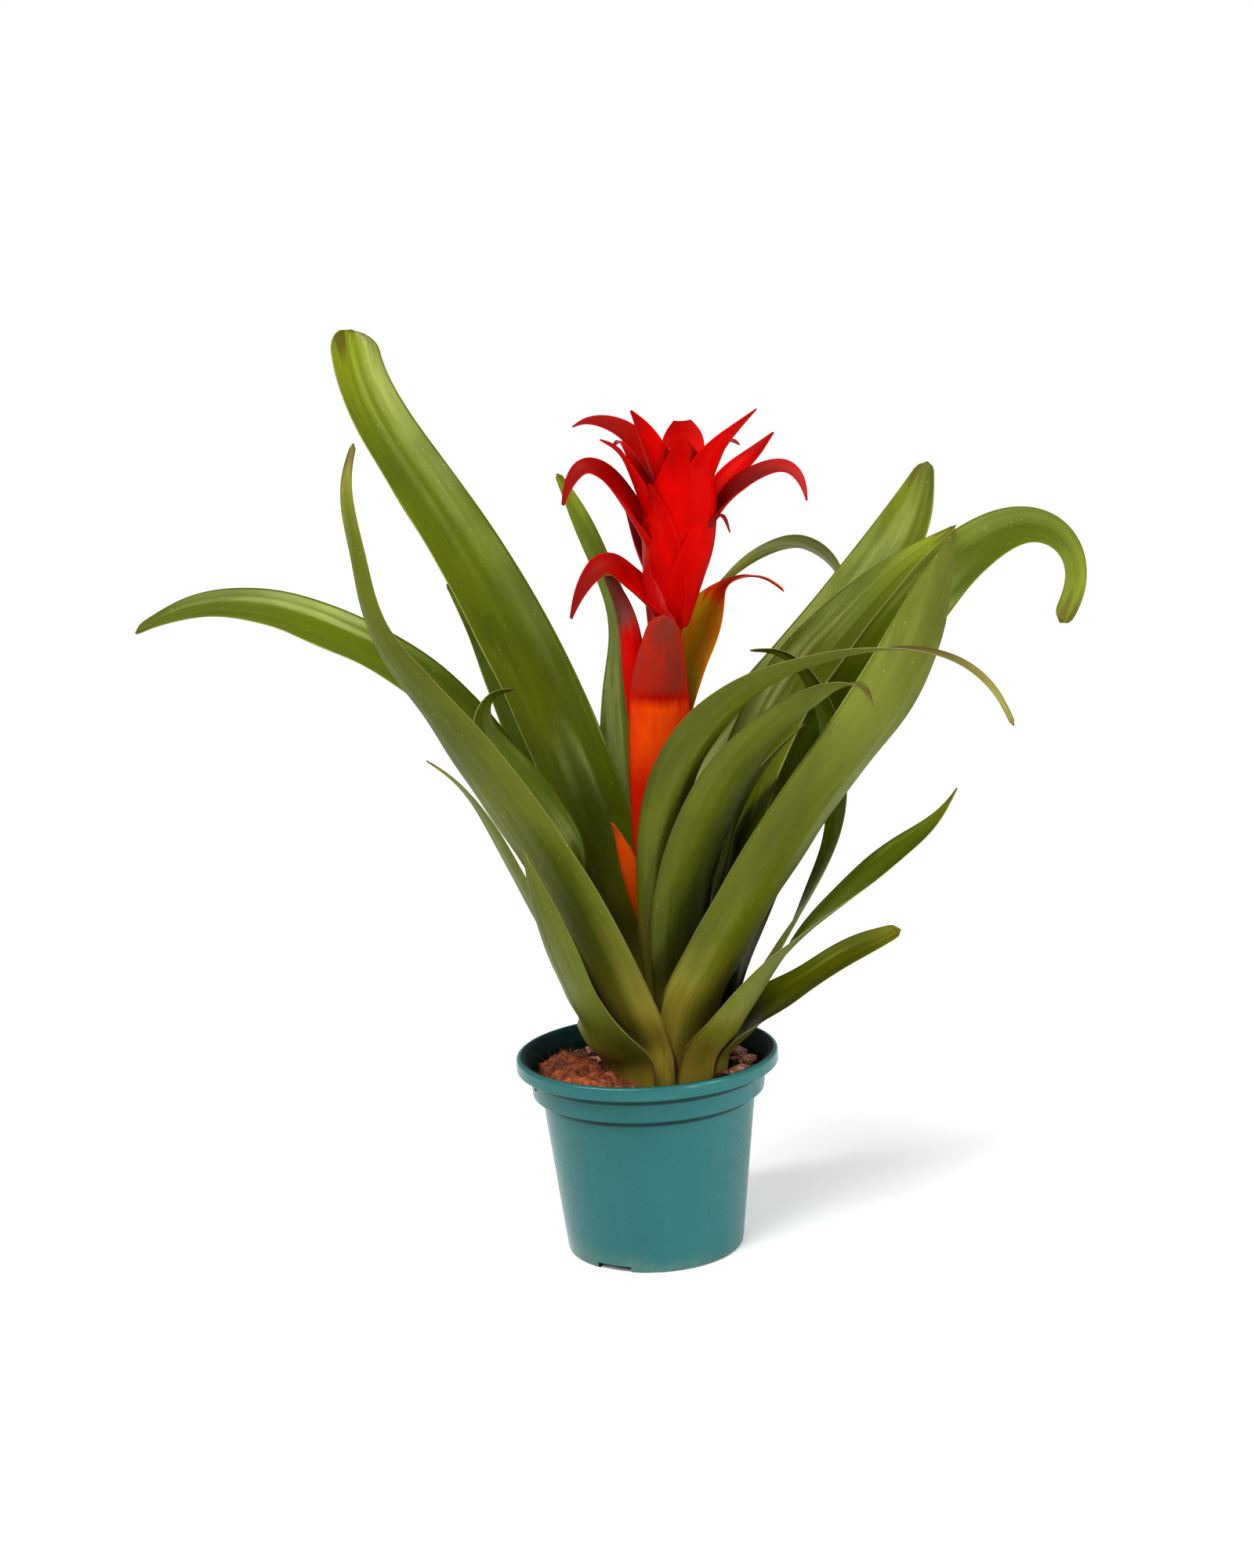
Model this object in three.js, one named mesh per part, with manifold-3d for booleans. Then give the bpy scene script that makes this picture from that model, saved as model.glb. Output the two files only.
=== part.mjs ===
// A guzmania in a plastic nursery pot: the pot, the soil that fills it, a short rootstock,
// nineteen strap leaves in a rosette, and one flower stalk with its bracts and red head.
// Millimetres, +Z up. The pot's base is centred on the origin and its front is at -Y.

import * as THREE from 'three';
import { mergeVertices } from 'three/addons/utils/BufferGeometryUtils.js';
import Module from 'manifold-3d';

const wasm = await Module();
wasm.setup();

// Pot
const POT_HEIGHT = 99.5;
const LIP_RADIUS = 65;
const LIP_BOTTOM = 93;
const BAND_RADIUS = 57.8;
const BAND_BOTTOM = 80.3;
const WALL_TOP_RADIUS = 53;
const BASE_RADIUS = 43.8;
const WALL = 1.4;
const FLOOR = 2;
const SLOT_WIDTH = 18;
const SLOT_HEIGHT = 3;
const SLOT_DEPTH = 5;
const SLOT_ANGLES = [1, 121, 241];

// Soil, and the gap between a piece and what it rests on
const GAP = 0.3;
const SOIL_TOP = 88;
const PLANT_X = 9;
const CROWN_HOLE_RADIUS = 33.4;
const CROWN_HOLE_FLOOR = 76;
const CROWN_TOP = 98.3;
const ROOT_HOLE_RADIUS = 9.4;
const ROOT_HOLE_FLOOR = 60;
const COIR_LIFT = 1.1;

// Plant
const ROOT_RADIUS = 9;
const ROOT_TOP = 112;
const OUTER_SHEATH_RADIUS = 31;
const SHEATH_PITCH = 1.45;
const SHEATH_HALF_ANGLE = 40;
const SHEATH_STRAIGHT = CROWN_TOP - CROWN_HOLE_FLOOR - GAP;
const SHEATH_STOPS = [0, SHEATH_STRAIGHT, 33, 45, 60];
const SHEATH_FLARE = 1.06;
const SHEATH_LENGTH = 78;
const SHEATH_SPREAD = 1;
const LEAVING_STEP = 5;
const FREE_ABOVE = 18;
const CLASP_TOP = 160;
const MOST_PUSH = 12;
const PUSH_PASSES = 14;
const CLEAR_TOP = 212;
const CLEAR_FADE = 22;
const CLEAR_GAP = 1.5;
const NOTE_TOP = 252;
const LEAF_THICKNESS = 0.9;
const LEAF_SIDES = 4;
const NARROWEST = 0.8;
const BRACT_THICKNESS = 0.9;
const WIDE_BRACT_SIDES = 4;
const SLIM_BRACT_SIDES = 2;
const STALK_RADIUS = 4.6;
const HEAD_BOTTOM = 296;
const HEAD_CUP = 374;

const rad = THREE.MathUtils.degToRad;
const lerp = THREE.MathUtils.lerp;
const smooth = THREE.MathUtils.smoothstep;

const MATERIALS = {
  pot: { color: 0x3f7773, roughness: 0.35 },
  soil: { color: 0x3a2418, roughness: 0.95 },
  coir: { color: 0x9c4f28, roughness: 0.95 },
  bark: { color: 0x8d5444, roughness: 0.85 },
  root: { color: 0x6b5a3a, roughness: 0.8 },
  leaf: { color: 0x5f6f1e, roughness: 0.35 },
  stalk: { color: 0x7a8a3a, roughness: 0.5 },
  orange: { color: 0xc8461a, roughness: 0.4 },
  red: { color: 0xc81208, roughness: 0.4 },
  floret: { color: 0xf0d8d0, roughness: 0.6 },
};

const group = new THREE.Group();

function addMesh(name, geometry, look) {
  const material = new THREE.MeshStandardMaterial({ ...MATERIALS[look], metalness: 0, flatShading: true });
  const mesh = new THREE.Mesh(geometry, material);
  mesh.name = name;
  group.add(mesh);
}

function toSolid(geometry) {
  geometry.deleteAttribute('normal');
  geometry.deleteAttribute('uv');
  const closed = mergeVertices(geometry, 1e-5);
  return new wasm.Manifold(new wasm.Mesh({
    numProp: 3,
    vertProperties: new Float32Array(closed.attributes.position.array),
    triVerts: new Uint32Array(closed.index.array),
  }));
}

function toGeometry(solid) {
  const mesh = solid.getMesh();
  const geometry = new THREE.BufferGeometry();
  geometry.setAttribute('position', new THREE.BufferAttribute(mesh.vertProperties, 3));
  geometry.setIndex(new THREE.BufferAttribute(mesh.triVerts, 1));
  return geometry;
}

// Pieces grown together: one outer shell, with no sealed hollow and no loose scrap
function fuse(geometries) {
  const whole = geometries.map(toSolid).reduce((sum, solid) => sum.add(solid));
  const bodies = whole.decompose();
  return toGeometry(bodies.reduce((best, body) => (body.volume() > best.volume() ? body : best)));
}

// A turned shape from rows of radius and height, from the axis at the bottom to the axis at the top
function turned(profile, segments) {
  const outline = profile.map(([r, z]) => new THREE.Vector2(r, z));
  return new THREE.LatheGeometry(outline, segments).rotateX(Math.PI / 2);
}

// A small repeatable random source, so that every build is the same
function seeded(seed) {
  let state = seed;
  return () => {
    state = (state * 1664525 + 1013904223) % 4294967296;
    return state / 4294967296;
  };
}

// Pot: a thin wall with a stepped band and a rolled lip, and slots cut in the foot for water
function potGeometry() {
  const profile = [
    [0, 0], [BASE_RADIUS - 0.6, 0], [BASE_RADIUS, 1], [WALL_TOP_RADIUS, BAND_BOTTOM - 0.6],
    [BAND_RADIUS, BAND_BOTTOM], [BAND_RADIUS + 0.8, LIP_BOTTOM - 0.4],
    [LIP_RADIUS - 0.2, LIP_BOTTOM + 0.6], [LIP_RADIUS - 0.2, POT_HEIGHT - 1],
    [LIP_RADIUS - 1.6, POT_HEIGHT], [LIP_RADIUS - 3.8, POT_HEIGHT - 0.7],
    [BAND_RADIUS + 0.8 - WALL, LIP_BOTTOM - 1.5], [BAND_RADIUS - WALL, BAND_BOTTOM + 1.6],
    [WALL_TOP_RADIUS - WALL, BAND_BOTTOM - 1.6], [BASE_RADIUS - WALL - 0.6, FLOOR], [0, FLOOR],
  ];
  let pot = toSolid(turned(profile, 40));
  for (const angle of SLOT_ANGLES) {
    const slot = new THREE.BoxGeometry(2 * SLOT_DEPTH, SLOT_WIDTH, 2 * SLOT_HEIGHT);
    slot.translate(BASE_RADIUS, 0, 0).rotateZ(rad(angle));
    pot = pot.subtract(toSolid(slot));
  }
  return toGeometry(pot);
}

// Height of the loose soil: uneven, and raised where the bark lies
function soilHeight(x, y) {
  const lumps = 0.9 * Math.sin(0.31 * x + 0.2 * y) + 0.7 * Math.sin(0.23 * x - 0.37 * y + 1.3);
  const bank = 3.2 * Math.exp(-((x - 46) ** 2 + (y + 12) ** 2) / 420);
  return SOIL_TOP + lumps + bank;
}

// Soil: it fills the pot, with one plain stepped hole that the plant stands in
function soilGeometry() {
  const wallGap = 0.5;
  const bandInside = BAND_RADIUS - WALL - wallGap;
  const rings = [48, 42, 36, 30, 22, 12, 0];
  const body = turned([
    [0, FLOOR + GAP], [BASE_RADIUS - WALL - 0.6 - wallGap, FLOOR + GAP],
    [WALL_TOP_RADIUS - WALL - wallGap, BAND_BOTTOM - 1.4], [bandInside, BAND_BOTTOM + 2],
    [bandInside, SOIL_TOP], ...rings.map((r) => [r, SOIL_TOP]),
  ], 40);
  const position = body.attributes.position;
  for (let i = 0; i < position.count; i++) {
    if (Math.abs(position.getZ(i) - SOIL_TOP) < 1e-3) {
      position.setZ(i, soilHeight(position.getX(i), position.getY(i)));
    }
  }
  const hole = turned([
    [0, ROOT_HOLE_FLOOR], [ROOT_HOLE_RADIUS, ROOT_HOLE_FLOOR], [ROOT_HOLE_RADIUS, CROWN_HOLE_FLOOR],
    [CROWN_HOLE_RADIUS, CROWN_HOLE_FLOOR], [CROWN_HOLE_RADIUS, POT_HEIGHT], [0, POT_HEIGHT],
  ], 36).translate(PLANT_X, 0, 0);
  return toGeometry(toSolid(body).subtract(toSolid(hole)));
}

// Coir: a crumbled lump of root ball that lies on the soil, curved round the crown's left and front
function coirGeometry() {
  const steps = 13;
  const sides = 6;
  const from = 158;
  const to = 256;
  const inner = 35.5;
  const potReach = 54.5;
  const random = seeded(7);
  const points = [];
  for (let i = 0; i <= steps; i++) {
    const u = i / steps;
    const angle = rad(lerp(from, to, u));
    const [c, s] = [Math.cos(angle), Math.sin(angle)];
    const outer = Math.sqrt(potReach ** 2 - (PLANT_X * s) ** 2) - PLANT_X * c;
    const end = Math.sin(Math.PI * Math.min(Math.max(u, 0.06), 0.95)) ** 0.5;
    for (let j = 0; j <= sides; j++) {
      const v = j / sides;
      const reach = lerp((inner + outer) / 2, lerp(outer, inner, v), end);
      const [x, y] = [PLANT_X + reach * c, reach * s];
      const under = soilHeight(x, y) + COIR_LIFT;
      const dome = Math.sin(Math.PI * lerp(0.1, 0.88, v)) ** 0.6 * end;
      const high = lerp(9, 3.5, smooth(u, 0.2, 1));
      points.push([x, y, under + 1.2 + high * dome + 1.6 * (random() - 0.5)], [x, y, under]);
    }
  }
  return gridSolid(points.map((p) => new THREE.Vector3(...p)), steps, sides);
}

// Bark: flat split chips that lie on the soil at the right, each with its own outline
function barkGeometry({ x, y, lift, length, width, turn, tilt, seed }) {
  const random = seeded(seed);
  const corners = 7;
  const outline = new THREE.Shape();
  for (let k = 0; k < corners; k++) {
    const a = 2 * Math.PI * k / corners;
    const reach = 0.85 + 0.3 * random();
    const point = [0.5 * length * reach * Math.cos(a), 0.5 * width * reach * Math.sin(a)];
    if (k === 0) {
      outline.moveTo(...point);
    } else {
      outline.lineTo(...point);
    }
  }
  const thickness = 1.6;
  const chip = new THREE.ExtrudeGeometry(outline, { depth: thickness, bevelEnabled: false });
  return chip.rotateY(rad(tilt)).rotateZ(rad(turn)).translate(x, y, soilHeight(x, y) + lift);
}

const BARK_CHIPS = [
  { name: 'bark_chip_front', x: 45.2, y: -22.5, lift: 1.3, length: 19, width: 10, turn: 72, tilt: 4, seed: 3 },
  { name: 'bark_chip_right', x: 49.4, y: -5.5, lift: 0.4, length: 11, width: 9, turn: 20, tilt: -6, seed: 11 },
  { name: 'bark_chip_back', x: 45, y: 22, lift: 1.6, length: 16, width: 9, turn: -50, tilt: 0, seed: 23 },
];

// A closed solid between two skins of the same grid. points runs row by row, upper then under.
// Both skins are split into the same triangles, so that a waved one never crosses the other.
function gridSolid(points, steps, sides) {
  const at = (i, j, under) => 2 * (i * (sides + 1) + j) + under;
  const index = [];
  const quad = (a, b, c, d) => index.push(a, b, c, a, c, d);
  for (let i = 0; i < steps; i++) {
    for (let j = 0; j < sides; j++) {
      quad(at(i, j, 0), at(i + 1, j, 0), at(i + 1, j + 1, 0), at(i, j + 1, 0));
      index.push(at(i, j, 1), at(i + 1, j + 1, 1), at(i + 1, j, 1));
      index.push(at(i, j, 1), at(i, j + 1, 1), at(i + 1, j + 1, 1));
    }
    quad(at(i, 0, 0), at(i, 0, 1), at(i + 1, 0, 1), at(i + 1, 0, 0));
    quad(at(i, sides, 0), at(i + 1, sides, 0), at(i + 1, sides, 1), at(i, sides, 1));
  }
  for (let j = 0; j < sides; j++) {
    quad(at(0, j, 0), at(0, j + 1, 0), at(0, j + 1, 1), at(0, j, 1));
    quad(at(steps, j, 0), at(steps, j, 1), at(steps, j + 1, 1), at(steps, j + 1, 0));
  }
  const geometry = new THREE.BufferGeometry();
  geometry.setAttribute('position', new THREE.Float32BufferAttribute(points.flatMap((p) => p.toArray()), 3));
  geometry.setIndex(index);
  return geometry;
}

// Rows of points across a blade, from its foot to its tip. Each row is an arc of a circle, so that a foot
// can clasp what it grows on and the rest can lie as a shallow channel. turn twists it, in degrees.
function bladeRows(options) {
  const { route, facing, stations, sides, halfWidth, halfAngle, turn = [0, 0], firstStops = [0] } = options;
  const midrib = new THREE.CatmullRomCurve3(route.map((p) => new THREE.Vector3(...p)), false, 'centripetal');
  const length = midrib.getLength();
  const evenFrom = firstStops[firstStops.length - 1];
  const evenSteps = stations - firstStops.length + 1;
  const across = new THREE.Vector3(-Math.sin(rad(facing)), Math.cos(rad(facing)), 0);
  const rows = [];
  for (let i = 0; i <= stations; i++) {
    const evenStop = lerp(evenFrom, length, (i - firstStops.length + 1) / evenSteps);
    const t = (firstStops[i] ?? evenStop) / length;
    const centre = midrib.getPointAt(t);
    const along = midrib.getTangentAt(t);
    const side = across.clone().addScaledVector(along, -across.dot(along)).normalize();
    const place = t * (turn.length - 1);
    const step = Math.min(Math.floor(place), turn.length - 2);
    side.applyAxisAngle(along, rad(lerp(turn[step], turn[step + 1], place - step)));
    const up = along.clone().cross(side);
    const angle = halfAngle(t * length, t);
    const radius = halfWidth(t * length, t) / angle;
    const row = [];
    for (let j = 0; j <= sides; j++) {
      const a = angle * (2 * j / sides - 1);
      const point = centre.clone().addScaledVector(side, radius * Math.sin(a));
      row.push(point.addScaledVector(up, radius * (1 - Math.cos(a))));
    }
    rows.push(row);
  }
  return rows;
}

function bladeSolid(rows, thickness) {
  const lastRow = rows.length - 1;
  const lastSide = rows[0].length - 1;
  const points = [];
  rows.forEach((row, i) => row.forEach((point, j) => {
    const along = rows[Math.min(i + 1, lastRow)][j].clone().sub(rows[Math.max(i - 1, 0)][j]);
    const side = row[Math.min(j + 1, lastSide)].clone().sub(row[Math.max(j - 1, 0)]);
    const normal = along.cross(side).normalize();
    points.push(point.clone().addScaledVector(normal, thickness / 2));
    points.push(point.clone().addScaledVector(normal, -thickness / 2));
  }));
  return gridSolid(points, lastRow, lastSide);
}

// The crown's sheaths lie over each other like wrapping. This keeps, for each direction and height, how far
// out the sheaths inside reach, and moves the next one out to clear them.
const BIN_DEGREES = 1.5;
const reached = new Map();

function polar(point) {
  const [x, y] = [point.x - PLANT_X, point.y];
  return { radius: Math.hypot(x, y), degrees: (THREE.MathUtils.radToDeg(Math.atan2(y, x)) + 360) % 360 };
}

function binOf(degrees, z) {
  return Math.floor(degrees / BIN_DEGREES) + 1000 * Math.floor(z);
}

function moveToRadius(point, radius) {
  const scale = radius / polar(point).radius;
  point.x = PLANT_X + (point.x - PLANT_X) * scale;
  point.y *= scale;
}

// Calls visit for points spread over every patch of the blade, with the corners of the patch
function overPatches(rows, parts, visit) {
  for (let i = 0; i + 1 < rows.length; i++) {
    for (let j = 0; j + 1 < rows[i].length; j++) {
      for (let k = 0; k < (parts + 1) ** 2; k++) {
        const [u, v] = [(k % (parts + 1)) / parts, Math.floor(k / (parts + 1)) / parts];
        const low = rows[i][j].clone().lerp(rows[i][j + 1], u);
        const high = rows[i + 1][j].clone().lerp(rows[i + 1][j + 1], u);
        visit(low.lerp(high, v), [[i, j], [i, j + 1], [i + 1, j], [i + 1, j + 1]]);
      }
    }
  }
}

function shortOfClear(point) {
  if (point.z < CROWN_TOP || point.z > CLEAR_TOP) {
    return 0;
  }
  const { radius, degrees } = polar(point);
  const inner = reached.get(binOf(degrees, point.z)) ?? 0;
  const fade = 1 - smooth(point.z, CLEAR_TOP - CLEAR_FADE, CLEAR_TOP);
  return inner > 0 ? (inner + CLEAR_GAP - radius) * fade : 0;
}

function clearInnerSheaths(rows) {
  const firstFree = 2;
  const limits = rows.map((row) => row.map((point) => polar(point).radius + MOST_PUSH));
  for (let pass = 0; pass < PUSH_PASSES; pass++) {
    const pushes = rows.map((row) => row.map(() => 0));
    overPatches(rows, 6, (point, corners) => {
      const short = shortOfClear(point);
      for (const [i, j] of corners) {
        pushes[i][j] = Math.max(pushes[i][j], 0.5 * short);
      }
    });
    rows.forEach((row, i) => row.forEach((point, j) => {
      if (i >= firstFree && pushes[i][j] > 0 && point.z > CROWN_TOP) {
        moveToRadius(point, Math.min(polar(point).radius + pushes[i][j], limits[i][j]));
      }
    }));
  }
}

function noteReach(rows) {
  overPatches(rows.filter((row) => row[0].z < NOTE_TOP), 18, (point) => {
    const { radius, degrees } = polar(point);
    const bin = binOf(degrees, point.z);
    reached.set(bin, Math.max(reached.get(bin) ?? 0, radius));
  });
}

// Width along a blade, as shares of its greatest width from foot to tip
const STRAP_PROFILE = [1, 1, 1, 1, 1, 1, 1, 0.94, 0.75, 0.44, 0];
const LONG_STRAP_PROFILE = [1, 1, 1, 1, 1, 1, 1, 1, 0.92, 0.59, 0];
const BROAD_TIP_PROFILE = [1, 1, 1, 1, 1, 1, 1, 1, 0.97, 0.84, 0.2];
const WHIP_PROFILE = [1, 1, 1, 1, 1, 0.97, 0.89, 0.7, 0.4, 0.2, 0.1];

function shareAt(profile, t) {
  const place = t * (profile.length - 1);
  const step = Math.min(Math.floor(place), profile.length - 2);
  return lerp(profile[step], profile[step + 1], place - step);
}

// The leaves, innermost first. shell counts sheaths inwards from the outside of the crown, facing is the
// compass angle of the sheath, and route is the midrib above the sheath, from the plant's foot outwards.
const LEAVES = [
  { name: 'leaf_upper_right', shell: 9, facing: 60, width: 42, stations: 19, profile: BROAD_TIP_PROFILE,
    route: [[16, 19, 150], [33, 47, 214], [69, 70, 256], [105, 87, 290], [135, 100, 323], [150, 107, 344],
      [159, 113, 366], [162, 115, 376]] },
  { name: 'leaf_front_whip', shell: 9, facing: 280, width: 24, stations: 22, profile: WHIP_PROFILE,
    route: [[11, -21, 160], [11, -30, 204], [17, -42, 239], [32, -58, 267], [55, -76, 288], [86, -96, 301],
      [118, -114, 307], [141, -128, 303], [156, -136, 291], [162, -138, 274]] },
  { name: 'leaf_upper_left', shell: 8, facing: 120, width: 44, stations: 20, turn: [0, 0, -20, -20],
    profile: [1, 1, 1, 1, 1, 0.97, 0.9, 0.82, 0.74, 0.68, 0.6],
    route: [[-4, 16, 150], [-22, 32, 213], [-42, 55, 266], [-65, 80, 316], [-94, 105, 366], [-123, 128, 408],
      [-139, 145, 436], [-141, 155, 448], [-139, 162, 459]] },
  { name: 'leaf_front_olive', shell: 8, facing: 300, width: 34, stations: 18,
    route: [[20, -22, 158], [24, -28, 190], [39, -38, 229], [59, -52, 259], [84, -66, 280], [103, -78, 290],
      [111, -84, 285], [108, -86, 278]] },
  { name: 'leaf_behind_flower', shell: 7, facing: 100, width: 44, stations: 18,
    profile: [1, 1, 1, 1, 1, 1, 0.75, 0.34, 0.24, 0.3, 0.08],
    route: [[8, 32, 150], [4, 56, 207], [1, 74, 252], [-1, 83, 275], [-1, 91, 299], [-5, 98, 317],
      [-13, 104, 334], [-18, 109, 350], [-32, 122, 379]] },
  { name: 'leaf_folded_right', shell: 7, facing: 340, width: 22, stations: 14,
    route: [[33, -5, 150], [44, -9, 204], [64, -16, 243], [82, -24, 262]] },
  { name: 'leaf_back_arch', shell: 6, facing: 80, width: 36, stations: 22,
    turn: [0, 0, 0, 0, 0, 40, 90, 90, 150],
    profile: LONG_STRAP_PROFILE,
    route: [[18, 30, 150], [36, 56, 188], [66, 82, 230], [100, 106, 272], [120, 122, 302], [112, 132, 325],
      [89, 141, 338], [66, 146, 328], [49, 148, 311]] },
  { name: 'leaf_middle_right', shell: 5, facing: 20, width: 36, stations: 18, turn: [0, 10, 35, 35, 30],
    route: [[38, -2, 150], [49, 1, 210], [76, 19, 269], [109, 32, 304], [139, 48, 329], [162, 55, 343],
      [168, 58, 346]] },
  { name: 'leaf_curled_left', shell: 5, facing: 180, width: 30, stations: 16, turn: [0, 0, -40, -50, -20],
    route: [[-22, -7, 150], [-33, -8, 195], [-48, 2, 222], [-66, 14, 246], [-76, 21, 264], [-72, 26, 278],
      [-64, 29, 281], [-57, 31, 278]] },
  { name: 'leaf_broad_right', shell: 4, facing: 300, width: 38, stations: 20, profile: LONG_STRAP_PROFILE,
    route: [[25, -30, 129], [41, -36, 161], [69, -42, 207], [92, -44, 239], [115, -40, 267], [134, -32, 295],
      [147, -20, 323], [158, -8, 349]] },
  { name: 'leaf_back_left', shell: 4, facing: 100, width: 34, stations: 18,
    route: [[-4, 42, 150], [-25, 80, 195], [-48, 110, 233], [-64, 130, 269], [-80, 145, 298],
      [-96, 155, 321]] },
  { name: 'leaf_front_left', shell: 3, facing: 240, width: 34, stations: 22,
    profile: [1, 1, 1, 1, 1, 0.95, 0.8, 0.52, 0.27, 0.25, 0.1],
    route: [[-9, -32, 120], [-20, -39, 155], [-42, -50, 203], [-74, -68, 261], [-95, -79, 295],
      [-110, -88, 319], [-114, -92, 335], [-115, -95, 350], [-117, -97, 365], [-120, -97, 380],
      [-120, -94, 395], [-115, -88, 405]] },
  { name: 'leaf_far_right', shell: 3, facing: 20, width: 38, stations: 22, turn: [0, 0, 30, 50, 50, 100],
    profile: [1, 1, 1, 1, 1, 1, 0.95, 0.8, 0.62, 0.55, 0.3],
    route: [[50, 14, 140], [80, 22, 215], [116, 30, 277], [146, 45, 309], [176, 60, 334], [206, 75, 345],
      [226, 85, 337], [236, 90, 316], [230, 90, 296], [225, 90, 291]] },
  { name: 'leaf_inner_left', shell: 2, facing: 200, width: 26, stations: 14,
    route: [[-26, -19, 125], [-48, -23, 169], [-66, -30, 211], [-82, -38, 244], [-96, -42, 256]] },
  { name: 'leaf_hook_right', shell: 2, facing: 340, width: 18, stations: 18, turn: [0, 0, 60, 60],
    route: [[54, -9, 128], [79, -8, 168], [97, -7, 205], [99, -5, 242], [93, -6, 271], [82, -5, 290],
      [68, -1, 298], [59, 1, 295]] },
  { name: 'leaf_low_right', shell: 1, facing: 320, width: 27, stations: 16, turn: [0, 0, 40, 50],
    route: [[44, -30, 120], [67, -37, 153], [97, -42, 181], [123, -46, 203], [142, -48, 218],
      [150, -48, 232]] },
  { name: 'leaf_far_left', shell: 1, facing: 160, width: 32, stations: 20, turn: [0, 0, -20, -35, -35],
    profile: [1, 1, 1, 1, 1, 1, 1, 0.96, 0.86, 0.7, 0.3],
    route: [[-22, 14, 135], [-48, 32, 208], [-79, 48, 255], [-113, 62, 287], [-141, 76, 301], [-177, 92, 316],
      [-214, 102, 321], [-246, 109, 314], [-258, 112, 307]] },
  { name: 'leaf_low_left', shell: 0, facing: 220, width: 27, stations: 12,
    route: [[-22, -31, 113], [-33, -45, 141], [-42, -58, 172], [-48, -65, 196], [-53, -66, 217]] },
  { name: 'leaf_lowest_right', shell: 0, facing: 0, width: 17, stations: 12, turn: [0, 0, 30, 40, 40],
    profile: [1, 1, 1, 1, 1, 0.9, 0.45],
    route: [[57, -2, 115], [81, 0, 131], [104, 2, 144], [128, 4, 153]] },
];

function leafGeometry({ shell, facing, width, stations, turn, profile = STRAP_PROFILE, route }) {
  const sheathRadius = OUTER_SHEATH_RADIUS - shell * SHEATH_PITCH;
  const foot = [1, SHEATH_FLARE].map((flare, k) => [
    PLANT_X + flare * sheathRadius * Math.cos(rad(facing)),
    flare * sheathRadius * Math.sin(rad(facing)),
    CROWN_HOLE_FLOOR + GAP + k * SHEATH_STRAIGHT,
  ]);
  const wrap = rad(SHEATH_HALF_ANGLE);
  const channel = 0.45;
  const rows = bladeRows({
    route: [...foot, ...route],
    facing,
    stations,
    turn,
    sides: LEAF_SIDES,
    firstStops: SHEATH_STOPS,
    halfWidth: (s, t) => {
      const flare = lerp(1, SHEATH_FLARE, Math.min(s / SHEATH_STRAIGHT, 1));
      const blade = Math.max(0.5 * width * shareAt(profile, t), NARROWEST);
      return lerp(sheathRadius * flare * wrap, blade, smooth(s, SHEATH_STRAIGHT, SHEATH_LENGTH));
    },
    halfAngle: (s) => lerp(wrap, channel, smooth(s, SHEATH_STRAIGHT, SHEATH_LENGTH)),
  });
  rows.slice(0, foot.length).forEach((row, i) => row.forEach((point) => {
    point.z = foot[i][2];
  }));
  for (const point of rows.flat()) {
    const sunk = THREE.MathUtils.clamp((CROWN_TOP - point.z) / SHEATH_STRAIGHT, 0, 1);
    const own = sheathRadius * lerp(SHEATH_FLARE, 1, sunk);
    const above = Math.max(point.z - CROWN_TOP - shell * LEAVING_STEP, 0);
    const most = above < FREE_ABOVE ? own + SHEATH_SPREAD * above : Infinity;
    if (point.z < CLASP_TOP) {
      moveToRadius(point, THREE.MathUtils.clamp(polar(point).radius, own, most));
    }
  }
  clearInnerSheaths(rows);
  noteReach(rows);
  return bladeSolid(rows, LEAF_THICKNESS);
}

// Rootstock: the short thick stem inside the crown, which the sheaths stand round
function rootstockGeometry() {
  const shoulder = 15.6;
  return turned([
    [0, ROOT_HOLE_FLOOR + GAP], [ROOT_RADIUS - 1.5, ROOT_HOLE_FLOOR + GAP],
    [ROOT_RADIUS, ROOT_HOLE_FLOOR + 3], [ROOT_RADIUS, CROWN_HOLE_FLOOR + GAP],
    [shoulder, CROWN_HOLE_FLOOR + GAP], [shoulder - 2, 92], [shoulder - 6, 104],
    [STALK_RADIUS + 1.5, ROOT_TOP], [0, ROOT_TOP],
  ], 16).translate(PLANT_X, 0, 0);
}

// The stalk leans to the right as it rises
function stalkX(z) {
  return PLANT_X + 0.000251 * (z - ROOT_TOP) ** 2;
}

function stalkGeometry() {
  const heights = [ROOT_TOP + GAP, 160, 210, 255, HEAD_BOTTOM - 2 * GAP];
  const path = new THREE.CatmullRomCurve3(heights.map((z) => new THREE.Vector3(stalkX(z), 0, z)));
  const section = new THREE.Shape().absarc(0, 0, STALK_RADIUS, 0, 2 * Math.PI);
  return new THREE.ExtrudeGeometry(section, { steps: 7, curveSegments: 8, extrudePath: path });
}

// One bract: a short blade whose foot clasps the stalk or is sunk in the head's core. profile is its width
// from foot to tip, as shares of the greatest width.
const PLAIN_PROFILE = [0.6, 0.85, 1, 0.97, 0.8, 0.5, 0.06];
const CURL_PROFILE = [1, 1, 0.95, 0.85, 0.65, 0.4, 0.1];
const BLUNT_PROFILE = [0.6, 0.8, 0.95, 1, 1, 0.85, 0.4];
const APEX_PROFILE = [0.55, 0.75, 0.9, 1, 1, 0.9, 0.6, 0.12];

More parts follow.
